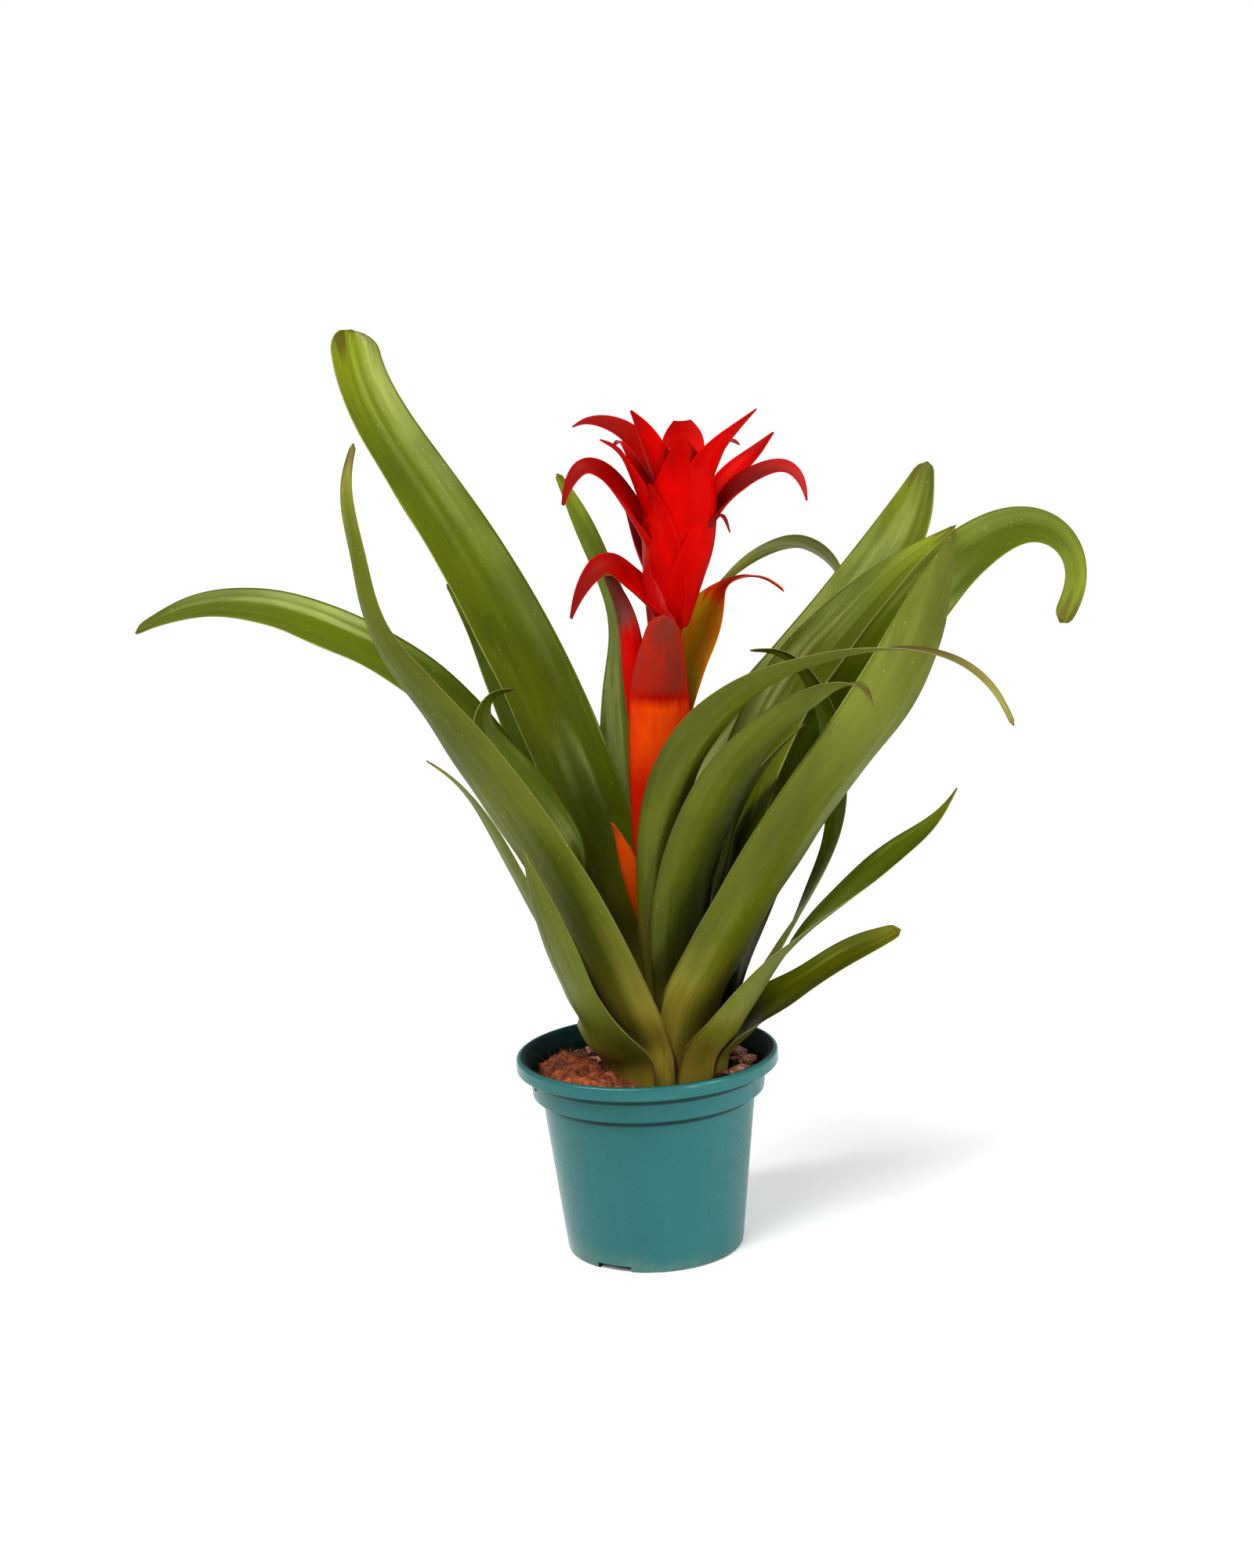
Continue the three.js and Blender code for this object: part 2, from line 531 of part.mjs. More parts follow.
function bractRows(options) {
  const { route, facing, width, turn, stations = 7, clasp = 1.1, cup = 0.5, profile = PLAIN_PROFILE } = options;
  return bladeRows({
    route,
    facing,
    stations,
    turn,
    sides: width > 15 ? WIDE_BRACT_SIDES : SLIM_BRACT_SIDES,
    halfWidth: (s, t) => Math.max(0.5 * width * shareAt(profile, t), NARROWEST),
    halfAngle: (s, t) => lerp(clasp, cup, smooth(t, 0.1, 0.9)),
  });
}

// The bracts below the head, each a piece of its own
const STALK_BRACTS = [
  { name: 'bract_left_small', look: 'orange', facing: 235, width: 17, stations: 7, clasp: 1,
    route: [[6.2, -4.6, 146], [4.2, -7.5, 156], [1.5, -10.5, 168], [-4, -14, 190], [-7, -14, 205],
      [-11.5, -13, 217]] },
  { name: 'bract_left', look: 'red', facing: 215, width: 22, stations: 9, clasp: 1.1, cup: 0.8,
    profile: BLUNT_PROFILE,
    route: [[4, -3, 212], [3, -3, 240], [1, -3, 265], [-1, -2, 290], [-1, -1, 310], [-4, 0, 325],
      [-9, 2, 334]] },
  { name: 'bract_right', look: 'orange', facing: 50, width: 25, stations: 15, clasp: 1, cup: 0.7,
    profile: [0.5, 0.6, 0.7, 0.8, 0.9, 1, 1, 0.95, 0.25, 0.12, 0.08],
    route: [[15.4, 4.8, 215], [19.5, 7, 240], [25, 7, 265], [31, 8, 285], [37, 9, 300], [42, 9, 315],
      [46, 9, 324], [52, 9, 328], [61, 9, 330], [71, 9, 327], [77, 9, 322]] },
  { name: 'bract_front', look: 'orange', facing: 266, width: 36, stations: 12, clasp: 1.1, cup: 1.05,
    profile: [0.3, 0.72, 0.85, 0.95, 1, 1, 0.85, 0.4],
    route: [[9.7, -6.2, 156], [9, -9.2, 172], [10, -13, 200], [12, -17, 235], [13, -18, 262],
      [14.5, -18, 290], [17, -17, 308], [18, -16, 316]] },
];

// The red bracts of the head, in layers: those seen from the front first, then those behind
const HEAD_BRACTS = [
  { facing: 185, width: 22, stations: 10, cup: 0.6, turn: [0, -30, -40, -30], profile: CURL_PROFILE,
    route: [[20, -2, 300], [12, -4, 319], [0, -5, 333], [-8, -5, 339], [-17, -4, 332], [-23, -3, 322],
      [-26, -2, 315]] },
  { facing: 270, width: 38, stations: 9, clasp: 1.2, cup: 0.8, profile: APEX_PROFILE,
    route: [[22, -5, 308], [25.5, -15, 335], [29, -19, 360], [30.5, -21, 378], [30, -21, 391],
      [29.5, -20, 399]] },
  { facing: 225, width: 22, route: [[21, -5, 310], [19, -13, 340], [17, -16, 362], [14, -17, 378]] },
  { facing: 315, width: 24, route: [[25, -5, 310], [35, -13, 340], [39, -15, 356], [41, -16, 370]] },
  { facing: 190, width: 21, stations: 9, turn: [0, -30, -40, -30], profile: CURL_PROFILE,
    route: [[16, -3, 335], [7, -4, 358], [0, -5, 372], [-8, -5, 383], [-16, -5, 386], [-23, -4, 379],
      [-27, -3, 369]] },
  { facing: 165, width: 17, turn: [0, -30, -30],
    route: [[21, 6, 365], [7, 10, 397], [-6, 14, 406], [-15, 16, 407], [-21, 18, 405]] },
  { facing: 205, width: 20, turn: [0, -30], route: [[16, -5, 350], [6, -8, 380], [0, -8, 393],
  [-8, -6, 399]] },
  { facing: 235, width: 17, route: [[24, -7, 362], [16, -13, 393], [11, -14, 405], [7, -14, 412]] },
  { facing: 90, width: 22, profile: BLUNT_PROFILE,
    route: [[27, 6, 362], [31, 17, 386], [32, 22, 398], [32, 26, 405]] },
  { facing: 310, width: 24, turn: [0, 20], route: [[32, -8, 352], [44, -16, 386], [55, -20, 400],
  [65, -24, 410]] },
  { facing: 15, width: 17, turn: [0, 30, 30], route: [[34, 3, 340], [51, 8, 374], [64, 10, 387],
  [75, 12, 398]] },
  { facing: 350, width: 14, stations: 9, turn: [0, 40, 40],
    route: [[34, -4, 340], [51, -8, 368], [65, -10, 379], [78, -10, 382], [85, -10, 376], [88, -10, 366]] },
  { facing: 335, width: 9, route: [[32, -7, 332], [42, -12, 355], [47, -13, 361], [51, -13, 353]] },
  { facing: 60, width: 17, route: [[30, 6, 345], [42, 20, 380], [52, 32, 394], [60, 42, 392]] },
  { facing: 120, width: 17, route: [[22, 8, 345], [12, 22, 380], [4, 34, 396], [-2, 44, 394]] },
  { facing: 145, width: 18, route: [[18, 5, 318], [8, 15, 348], [3, 22, 368], [-4, 30, 375]] },
  { facing: 40, width: 18, route: [[26, 5, 315], [38, 13, 345], [44, 22, 366], [47, 30, 373]] },
  { facing: 92, width: 26, route: [[22, 5, 310], [24, 17, 345], [25, 26, 366], [24, 40, 368]] },
];

function headGeometry() {
  const core = turned([
    [0, HEAD_BOTTOM], [STALK_RADIUS, HEAD_BOTTOM], [7.5, 304], [9.5, 316], [12, 332], [14, 352],
    [14.5, HEAD_CUP - 3], [12.5, HEAD_CUP], [0, HEAD_CUP],
  ], 20);
  const position = core.attributes.position;
  for (let i = 0; i < position.count; i++) {
    position.setX(i, position.getX(i) + stalkX(position.getZ(i)));
  }
  return fuse([core, ...HEAD_BRACTS.map((bract) => bladeSolid(bractRows(bract), BRACT_THICKNESS))]);
}

// Florets: slim tubes with open points, which stand on one small disc in the cup of the head
function floretsGeometry() {
  const floor = HEAD_CUP + GAP;
  const centre = new THREE.Vector3(stalkX(floor), 0, floor);
  const disc = turned([[0, 0], [5, 0], [5, 1.6], [0, 1.6]], 12).translate(...centre.toArray());
  const places = [[2.6, -1.5, 22], [-2, -2.4, 17], [0.6, 2.6, 19], [3.4, 2, 14]];
  const tubes = places.map(([x, y, height]) => {
    const tube = turned([[0, 1], [1.3, 1], [1.1, height - 6], [2.2, height], [0.7, height - 1.5],
    [0, height - 2]], 6);
    return tube.rotateY(rad(6)).translate(centre.x + x, centre.y + y, centre.z);
  });
  return fuse([disc, ...tubes]);
}

addMesh('pot', potGeometry(), 'pot');
addMesh('soil', soilGeometry(), 'soil');
addMesh('coir_lump', coirGeometry(), 'coir');
for (const chip of BARK_CHIPS) {
  addMesh(chip.name, barkGeometry(chip), 'bark');
}
addMesh('rootstock', rootstockGeometry(), 'root');
for (const leaf of LEAVES) {
  addMesh(leaf.name, leafGeometry(leaf), 'leaf');
}
addMesh('flower_stalk', stalkGeometry(), 'stalk');
for (const bract of STALK_BRACTS) {
  addMesh(bract.name, bladeSolid(bractRows(bract), BRACT_THICKNESS), bract.look);
}
addMesh('flower_head', headGeometry(), 'red');
addMesh('florets', floretsGeometry(), 'floret');

export default group;
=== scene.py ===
# %% [markdown]
# A potted guzmania: strap leaves in a rosette, a clasped stalk and a red head of bracts, in a teal
# pot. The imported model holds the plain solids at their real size. This script gives each of them
# its finish, and it replaces most of them with finer pieces that follow the same solids. Lengths in
# the tables are millimetres, as a plant is measured; MM turns them into Blender's metres.

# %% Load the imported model
import math
import bpy
import bmesh
import numpy as np
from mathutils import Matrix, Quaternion, Vector, noise


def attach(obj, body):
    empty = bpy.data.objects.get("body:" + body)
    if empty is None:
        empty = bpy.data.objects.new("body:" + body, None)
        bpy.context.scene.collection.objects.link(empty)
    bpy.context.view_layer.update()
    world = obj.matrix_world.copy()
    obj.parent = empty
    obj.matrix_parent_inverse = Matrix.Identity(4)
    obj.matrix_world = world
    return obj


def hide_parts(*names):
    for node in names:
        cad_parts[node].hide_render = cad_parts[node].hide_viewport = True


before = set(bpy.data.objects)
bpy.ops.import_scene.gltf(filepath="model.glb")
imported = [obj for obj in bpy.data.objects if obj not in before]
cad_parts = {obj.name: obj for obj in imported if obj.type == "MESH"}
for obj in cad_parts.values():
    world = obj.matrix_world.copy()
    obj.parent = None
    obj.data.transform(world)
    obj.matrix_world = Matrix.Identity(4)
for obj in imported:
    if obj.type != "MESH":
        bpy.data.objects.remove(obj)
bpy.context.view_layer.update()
MM = 0.001
PLANT_X = 9

# %% [markdown]
# The camera stands about as high as the flower head, more than a metre away, and looks slightly
# down. It is rolled by a few degrees, because the picture itself is tilted a little.

# %% Camera
VIEW_DISTANCE = 1141
VIEW_CENTRE = (-3.3, 0, 233.1)
VIEW_DOWN = math.radians(9.97)
VIEW_ROLL = math.radians(-2.84)


def add_camera():
    lens = bpy.data.cameras.new("studio_camera")
    lens.lens = 54
    lens.sensor_width = 36
    camera = bpy.data.objects.new("studio_camera", lens)
    towards = Vector((0, -math.cos(VIEW_DOWN), math.sin(VIEW_DOWN)))
    camera.location = (Vector(VIEW_CENTRE) + VIEW_DISTANCE * towards) * MM
    camera.rotation_mode = "QUATERNION"
    camera.rotation_quaternion = Quaternion(towards, VIEW_ROLL) @ towards.to_track_quat("Z", "Y")
    bpy.context.scene.collection.objects.link(camera)
    bpy.context.scene.camera = camera
    return camera


camera = add_camera()
print("camera at", [round(value, 3) for value in camera.location])

# %% [markdown]
# Plain soft studio light. The backdrop behind the plant is white, and the dome above it and on the
# camera's side is dimmer, so that glossy leaves don't mirror a white room and lose their green. A
# broad sun from the front left whitens the floor, and tall soft lamps at the sides give the leaves
# their streaks. The Standard view keeps colours plain, and its gamma of 0.8 deepens them a little.

# %% Room and lamps
scene = bpy.context.scene
scene.view_settings.view_transform = "Standard"
scene.view_settings.gamma = 0.8
BACKDROP_WHITE, DOME_GREY = 1.0, 0.36
SUN_STRENGTH, SUN_WIDTH = 2.5, math.radians(35)
LAMP_AIM = Vector((0, 0, 0.22))


def world_range(tree, value, low, high):
    """0 to 1 as a direction's part goes from low to high"""
    node = tree.nodes.new("ShaderNodeMapRange")
    node.inputs["From Min"].default_value = low
    node.inputs["From Max"].default_value = high
    tree.links.new(value, node.inputs["Value"])
    return node.outputs["Result"]


def add_room():
    """A white backdrop behind the plant, and dimmer light from above and from the camera's side"""
    world = bpy.data.worlds.new("white_room")
    world.use_nodes = True
    tree = world.node_tree
    way = tree.nodes.new("ShaderNodeTexCoord")
    parts = tree.nodes.new("ShaderNodeSeparateXYZ")
    dim = tree.nodes.new("ShaderNodeMath")
    dim.operation = "MAXIMUM"
    level = tree.nodes.new("ShaderNodeMapRange")
    level.inputs["To Min"].default_value = BACKDROP_WHITE
    level.inputs["To Max"].default_value = DOME_GREY
    tree.links.new(way.outputs["Generated"], parts.inputs[0])
    tree.links.new(world_range(tree, parts.outputs["Z"], 0.16, 0.24), dim.inputs[0])
    tree.links.new(world_range(tree, parts.outputs["Y"], 0.1, -0.4), dim.inputs[1])
    tree.links.new(dim.outputs[0], level.inputs["Value"])
    tree.links.new(level.outputs["Result"], tree.nodes["Background"].inputs["Strength"])
    tree.nodes["Background"].inputs["Color"].default_value = (1, 1, 1, 1)
    scene.world = world


def add_lamp(name, kind, place, power, **settings):
    """A lamp at a place, turned to the plant"""
    lamp = bpy.data.lights.new(name, kind)
    lamp.energy = power
    for key, value in settings.items():
        setattr(lamp, key, value)
    holder = bpy.data.objects.new(name, lamp)
    holder.location = place
    aim = LAMP_AIM - Vector(place)
    holder.rotation_mode = "QUATERNION"
    holder.rotation_quaternion = aim.to_track_quat("-Z", "Y")
    scene.collection.objects.link(holder)


add_room()
add_lamp("sun", "SUN", (-0.7, -0.9, 1.9), SUN_STRENGTH, angle=SUN_WIDTH)
add_lamp("right_lamp", "AREA", (1.1, -0.65, 0.85), 12, shape="RECTANGLE", size=0.16, size_y=1.1)
add_lamp("left_lamp", "AREA", (-0.9, -0.35, 1.25), 10, shape="RECTANGLE", size=0.18, size_y=0.9)
add_lamp("front_lamp", "AREA", (0.8, -1.05, 0.45), 6, shape="RECTANGLE", size=0.12, size_y=0.9)
print("room and lamps set")

# %% [markdown]
# A finish is a small tree of shader nodes. These helpers keep each tree short: add makes a node and
# wires its inputs, and the others make the few nodes that almost every finish here needs.

# %% Helpers for finishes
def srgb(red, green, blue):
    """A colour as a screen shows it, 0 to 255, as the linear colour that shaders use"""
    parts = [value / 255 for value in (red, green, blue)]
    return (*[part / 12.92 if part < 0.04045 else ((part + 0.055) / 1.055) ** 2.4 for part in parts], 1)


def new_finish(name, **sockets):
    finish = bpy.data.materials.new(name)
    finish.use_nodes = True
    surface = finish.node_tree.nodes["Principled BSDF"]
    for socket, value in sockets.items():
        surface.inputs[socket.replace("_", " ")].default_value = value
    return finish, finish.node_tree, surface


def add(tree, kind, inputs, **settings):
    node = tree.nodes.new("ShaderNode" + kind)
    for key, value in settings.items():
        setattr(node, key, value)
    for key, value in inputs.items():
        if isinstance(value, bpy.types.NodeSocket):
            tree.links.new(value, node.inputs[key])
        else:
            node.inputs[key].default_value = value
    return node


def stretched(tree, vector, scale, shift=(0, 0, 0)):
    return add(tree, "Mapping", {"Vector": vector, "Scale": scale, "Location": shift}).outputs["Vector"]


def cloud(tree, vector, scale=1.0, detail=3.0, roughness=0.55):
    inputs = {"Vector": vector, "Scale": scale, "Detail": detail, "Roughness": roughness}
    return add(tree, "TexNoise", inputs).outputs["Fac"]


def fitted(tree, value, low, high, to_low=0.0, to_high=1.0):
    inputs = {"Value": value, "From Min": low, "From Max": high, "To Min": to_low, "To Max": to_high}
    return add(tree, "MapRange", inputs, interpolation_type="SMOOTHSTEP").outputs["Result"]


def maths(tree, operation, first, second=0.0):
    return add(tree, "Math", {0: first, 1: second}, operation=operation).outputs[0]


def mixed(tree, share, first, second):
    return add(tree, "Mix", {0: share, 6: first, 7: second}, data_type="RGBA").outputs[2]


def clamped_product(tree, first, second):
    return add(tree, "Math", {0: first, 1: second}, operation="MULTIPLY", use_clamp=True).outputs[0]


def ramp(tree, value, stops):
    node = add(tree, "ValToRGB", {"Fac": value})
    marks = node.color_ramp.elements
    while len(marks) < len(stops):
        marks.new(0.5)
    for mark, (place, colour) in zip(marks, stops):
        mark.position = place
        mark.color = colour
    return node.outputs["Color"]


def painted(tree, surface, colour):
    tree.links.new(colour, surface.inputs["Base Color"])


def dented(tree, surface, height, distance, strength=1.0):
    inputs = {"Height": height, "Distance": distance, "Strength": strength}
    tree.links.new(add(tree, "Bump", inputs).outputs["Normal"], surface.inputs["Normal"])


def object_place(tree):
    return add(tree, "TexCoord", {}).outputs["Object"]


print("helpers ready")

# %% [markdown]
# The floor is one pale plane. It is stage, not part of the plant, and it only has to catch a soft
# shadow. It glows faintly, so that it is as white as the backdrop. Two more helpers make a piece
# and fix it to the plant.

# %% Floor
def new_piece(name, bm, finishes, smooth=True):
    """Close a bmesh into an object whose place is in its mesh"""
    mesh = bpy.data.meshes.new(name)
    for face in bm.faces:
        face.smooth = smooth
    bm.to_mesh(mesh)
    bm.free()
    for finish in finishes:
        mesh.materials.append(finish)
    piece = bpy.data.objects.new(name, mesh)
    scene.collection.objects.link(piece)
    return piece


def join_plant(piece, node=None):
    """Fix a piece to the plant's one body, in place of a solid where it stands for one"""
    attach(piece, "root")
    if node:
        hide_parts(node)


def floor_finish():
    finish, tree, surface = new_finish("pale_floor", Roughness=0.9, Specular_IOR_Level=0.2,
                                       Emission_Color=(1, 1, 1, 1), Emission_Strength=0.14)
    grain = cloud(tree, object_place(tree), 60)
    colour = mixed(tree, grain, (0.9, 0.9, 0.9, 1), (0.93, 0.93, 0.93, 1))
    painted(tree, surface, colour)
    return finish


def add_floor():
    bm = bmesh.new()
    bmesh.ops.create_grid(bm, x_segments=1, y_segments=1, size=40)
    new_piece("pale_floor", bm, [floor_finish()], smooth=False)


add_floor()
print("floor laid")

# %% [markdown]
# A leaf is a strap: a thin sheet, wrapped round its neighbours at the foot and free above. Its
# solid is a coarse grid of paired corners. The steps are to read that grid back in rows, to pass a
# smooth curve through the rows both ways, and to lay a fine grid on it. So the fine leaf keeps the
# place and form of its solid.

# %% Read a blade's rows back from its solid
MERGE_WITHIN = 2e-6
FOOT_REACH = 5 * MM


def walk_round(ring):
    """The corners of one ring in order"""
    ring = set(ring)
    here = next(iter(sorted(ring, key=lambda v: v.index)))
    order = [here]
    while len(order) < len(ring):
        after = [e.other_vert(here) for e in here.link_edges if e.other_vert(here) in ring]
        here = next(v for v in after if v not in order)
        order.append(here)
    return [np.array(v.co) for v in order]


def middle_row(ring):
    """Pair each corner with the one behind it, and return the points between them"""
    half = len(ring) // 2
    best = None
    for turn in range(half):
        turned = ring[turn:] + ring[:turn]
        top, under = turned[:half], turned[half:][::-1]
        spread = sum(np.linalg.norm(a - b) for a, b in zip(top, under))
        if best is None or spread < best[0]:
            best = (spread, [(a + b) / 2 for a, b in zip(top, under)])
    return np.array(best[1])


def rows_of(node):
    """Rows of points from foot to tip on the middle of a blade, its upper side facing the reader"""
    bm = bmesh.new()
    bm.from_mesh(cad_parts[node].data)
    bmesh.ops.remove_doubles(bm, verts=bm.verts, dist=MERGE_WITHIN)
    lowest = min(v.co.z for v in bm.verts)
    rings = [{v for v in bm.verts if v.co.z < lowest + FOOT_REACH}]
    seen = set(rings[0])
    while True:
        above = {e.other_vert(v) for v in rings[-1] for e in v.link_edges} - seen
        if not above:
            break
        rings.append(above)
        seen |= above
    caps = [f for f in bm.faces if any(all(v in end for v in f.verts) for end in (rings[0], rings[-1]))]
    bmesh.ops.delete(bm, geom=caps, context="FACES")
    bm.verts.index_update()
    rows = [middle_row(walk_round(ring)) for ring in rings]
    bm.free()
    stem = np.array([PLANT_X * MM, 0, rows[0][0][2]])
    inward = stem - rows[0].mean(axis=0)
    if np.dot(np.cross(rows[0][-1] - rows[0][0], rows[1].mean(axis=0) - rows[0].mean(axis=0)), inward) < 0:
        rows[0] = rows[0][::-1]
    for i in range(1, len(rows)):
        before = rows[i - 1] - rows[i - 1].mean(axis=0)
        here = rows[i] - rows[i].mean(axis=0)
        if np.sum(before * here) < np.sum(before * here[::-1]):
            rows[i] = rows[i][::-1]
    return np.array(rows)


print("rows of one leaf:", rows_of("leaf_upper_left").shape)

# %% [markdown]
# The smooth curve is a natural cubic spline, as a bent batten takes it: it passes through every row
# and turns evenly, so the gloss on a leaf runs on without a kink.

# %% Smooth curves and fine sheets
def spline(knots, values, at):
    count = len(knots)
    gaps = np.diff(knots)
    system = np.eye(count)
    load = np.zeros((count, int(np.prod(values.shape[1:]))))
    flat = values.reshape(count, -1)
    for i in range(1, count - 1):
        system[i, i - 1:i + 2] = gaps[i - 1], 2 * (gaps[i - 1] + gaps[i]), gaps[i]
        load[i] = 6 * ((flat[i + 1] - flat[i]) / gaps[i] - (flat[i] - flat[i - 1]) / gaps[i - 1])
    bend = np.linalg.solve(system, load)
    i = np.clip(np.searchsorted(knots, at, side="right") - 1, 0, count - 2)
    gap = gaps[i][:, None]
    b = (np.asarray(at) - knots[i])[:, None] / gap
    a = 1 - b
    line = a * flat[i] + b * flat[i + 1]
    curve = ((a ** 3 - a) * bend[i] + (b ** 3 - b) * bend[i + 1]) * gap ** 2 / 6
    return (line + curve).reshape(len(at), *values.shape[1:])


def smooth_step(value, low, high):
    share = np.clip((value - low) / (high - low), 0, 1)
    return share * share * (3 - 2 * share)


def eased(rows, first, passes):
    """Even out small steps between the rows above the sheath"""
    rows = rows.copy()
    for _ in range(passes):
        middle = rows[first:-1]
        rows[first:-1] = (rows[first - 1:-2] + 2 * middle + rows[first + 1:]) / 4
    return rows


def fine_sheet(rows, step, columns):
    """A fine grid of points on the rows, with its normals, lengths along it and widths across it"""
    centres = rows.mean(axis=1)
    knots = np.concatenate([[0], np.cumsum(np.linalg.norm(np.diff(centres, axis=0), axis=1))])
    along = np.linspace(0, knots[-1], round(knots[-1] / (step * MM)) + 1)
    sheet = spline(knots, rows, along)
    across = np.linspace(0, 1, rows.shape[1])
    sheet = spline(across, sheet.swapaxes(0, 1), np.linspace(0, 1, columns + 1)).swapaxes(0, 1)
    normals = np.cross(np.gradient(sheet, axis=1), np.gradient(sheet, axis=0))
    normals /= np.linalg.norm(normals, axis=2, keepdims=True)
    widths = np.linalg.norm(np.diff(sheet, axis=1), axis=2).sum(axis=1)
    return sheet, normals, along, widths


print("spline check:", spline(np.array([0, 1, 2.0]), np.array([[0], [1], [0.0]]), [0.5]))

# %% [markdown]
# A real strap isn't flat between its margins. It has a few broad ribs, its edges wave a little, and
# it thins from the middle to the margin. The fine grid is a create_grid whose points are set on the
# sheet. The Solidify modifier gives it two faces, with a finish for the upper side, the underside
# and the thin margin.

# %% Lay a blade
def ribs_and_waves(share_across, along, widths, seed, ribs, rib_height, wave_height):
    """How far each point of a sheet stands off it, in metres"""
    chance = np.random.default_rng(seed)
    phase = chance.uniform(0, 2 * math.pi, 6)
    across = share_across[None, :]
    length = along[:, None]
    drift = 0.5 * np.sin(length / (70 * MM) + phase[0])
    rib = np.cos(math.pi * ribs * across + drift + phase[1]) + 0.5 * np.cos(
        math.pi * (ribs + 2.4) * across - drift + phase[2])
    rib = rib * np.clip(widths[:, None] / (30 * MM), 0, 1) * (1 - across ** 4)
    wave = np.sin(length / (13 * MM) + phase[3] + 1.6 * np.sign(across)) + 0.7 * np.sin(
        length / (7.3 * MM) + phase[4] - 1.1 * np.sign(across))
    wave = wave * np.abs(across) ** 3 * np.clip(widths[:, None] / (25 * MM), 0.1, 1)
    free = smooth_step(length, 50 * MM, 110 * MM)
    return rib * rib_height * MM * smooth_step(length, 25 * MM, 70 * MM) + wave * wave_height * MM * free


def lay_blade(name, sheet, along, widths, finishes, thickness, margin_share=0.45):
    steps, columns = sheet.shape[0] - 1, sheet.shape[1] - 1
    bm = bmesh.new()
    size_map = bm.loops.layers.uv.new("size")
    share_map = bm.loops.layers.uv.new("share")
    body = bm.verts.layers.deform.new()
    bmesh.ops.create_grid(bm, x_segments=columns, y_segments=steps, size=1)
    seat = {v: (round((v.co.y + 1) / 2 * steps), round((v.co.x + 1) / 2 * columns)) for v in bm.verts}
    for v, (i, j) in seat.items():
        v.co = sheet[i, j]
        share = 2 * j / columns - 1
        v[body][0] = margin_share + (1 - margin_share) * (1 - share ** 4)
    for face in bm.faces:
        for loop in face.loops:
            i, j = seat[loop.vert]
            share = 2 * j / columns - 1
            loop[size_map].uv = (share * widths[i] / 2 / (10 * MM), along[i] / (10 * MM))
            loop[share_map].uv = (share, i / steps)
    piece = new_piece(name, bm, finishes)
    piece.vertex_groups.new(name="body")
    shell = piece.modifiers.new("two_faces", "SOLIDIFY")
    shell.thickness = thickness * MM
    shell.offset = 0
    shell.vertex_group = "body"
    shell.material_offset = 1
    shell.material_offset_rim = 2
    return piece


print("blade tools ready")

# %% [markdown]
# The leaf's colour changes along it, from the pale brown-edged sheath through green to a lighter or
# dry tip. Fine veins run from foot to tip, one half is darkened with painted shade, as a folded
# leaf's half turned from the light, and small pale scars lie here and there. The two maps that the
# blade holds make this easy: one measures in centimetres, the other in shares of its size.

# %% Leaf finish
def blade_maps(tree):
    size = add(tree, "UVMap", {}, uv_map="size").outputs["UV"]
    share = add(tree, "SeparateXYZ", {0: add(tree, "UVMap", {}, uv_map="share").outputs["UV"]})
    return size, share.outputs["X"], share.outputs["Y"]


DRY_RIM, SCAR = srgb(92, 58, 26), srgb(196, 190, 150)


def leaf_finish(name, seed, sheath, main, deep, light, tip, edge, gloss=0.27, painted_shade_side=0.0, scars=0.35):
    finish, tree, surface = new_finish(name, Specular_IOR_Level=0.5, Specular_Tint=(0.95, 1, 0.5, 1))
    size, across, along = blade_maps(tree)
    place = stretched(tree, size, (1, 1, 1), (3.7 * seed, 11.3 * seed, 0))
    broad = cloud(tree, stretched(tree, place, (0.35, 0.12, 1)), detail=4)
    streak = cloud(tree, stretched(tree, place, (3.2, 0.1, 1)), detail=4)
    veins = cloud(tree, stretched(tree, place, (22, 0.25, 1)), detail=2)
    ragged = maths(tree, "ADD", along, fitted(tree, streak, 0.3, 0.7, -0.03, 0.03))
    colour = ramp(tree, ragged, [(0.08, sheath), (0.3, main), (0.86, main), (0.97, light), (0.995, tip)])
    # Painted shade: one half of the leaf darkens, as a folded leaf's half turned from the light
    painted_shade_half = maths(tree, "MULTIPLY", across, painted_shade_side)
    shade = maths(tree, "ADD", fitted(tree, broad, 0.35, 0.68, -0.1, 0.75), painted_shade_half)
    shade = clamped_product(tree, shade, fitted(tree, along, 0.1, 0.3))
    colour = mixed(tree, shade, colour, deep)
    colour = mixed(tree, fitted(tree, streak, 0.52, 0.8, 0, 0.35), colour, light)
    colour = mixed(tree, fitted(tree, veins, 0.3, 0.75, 0, 0.22), colour, deep)
    side = maths(tree, "ABSOLUTE", across)
    colour = mixed(tree, fitted(tree, side, 0.9, 0.97, 0, 0.45), colour, deep)
    colour = mixed(tree, fitted(tree, side, 0.965, 0.99, 0, 0.8), colour, edge)
    near_foot = fitted(tree, ragged, 0.3, 0.16, 0, 0.75)
    old_rim = maths(tree, "MULTIPLY", fitted(tree, side, 0.93, 0.985), near_foot)
    colour = mixed(tree, old_rim, colour, DRY_RIM)
    spots = add(tree, "TexVoronoi", {"Vector": stretched(tree, place, (3.1, 1.1, 1)), "Scale": 1.0})
    colour = mixed(tree, fitted(tree, spots.outputs["Distance"], 0.10, 0.03, 0, scars), colour, SCAR)
    painted(tree, surface, colour)
    rough = maths(tree, "ADD", fitted(tree, broad, 0.3, 0.7, gloss - 0.05, gloss + 0.08),
                  fitted(tree, veins, 0.3, 0.7, 0, 0.06))
    rough = maths(tree, "ADD", rough, fitted(tree, along, 0.65, 0.95, 0, 0.14))
    tree.links.new(rough, surface.inputs["Roughness"])
    height = maths(tree, "ADD", veins, maths(tree, "MULTIPLY", streak, 1.6))
    dented(tree, surface, height, 0.00012, 0.6)
    return finish


print("leaf finish ready, its dry rim", [round(part, 3) for part in DRY_RIM[:3]])

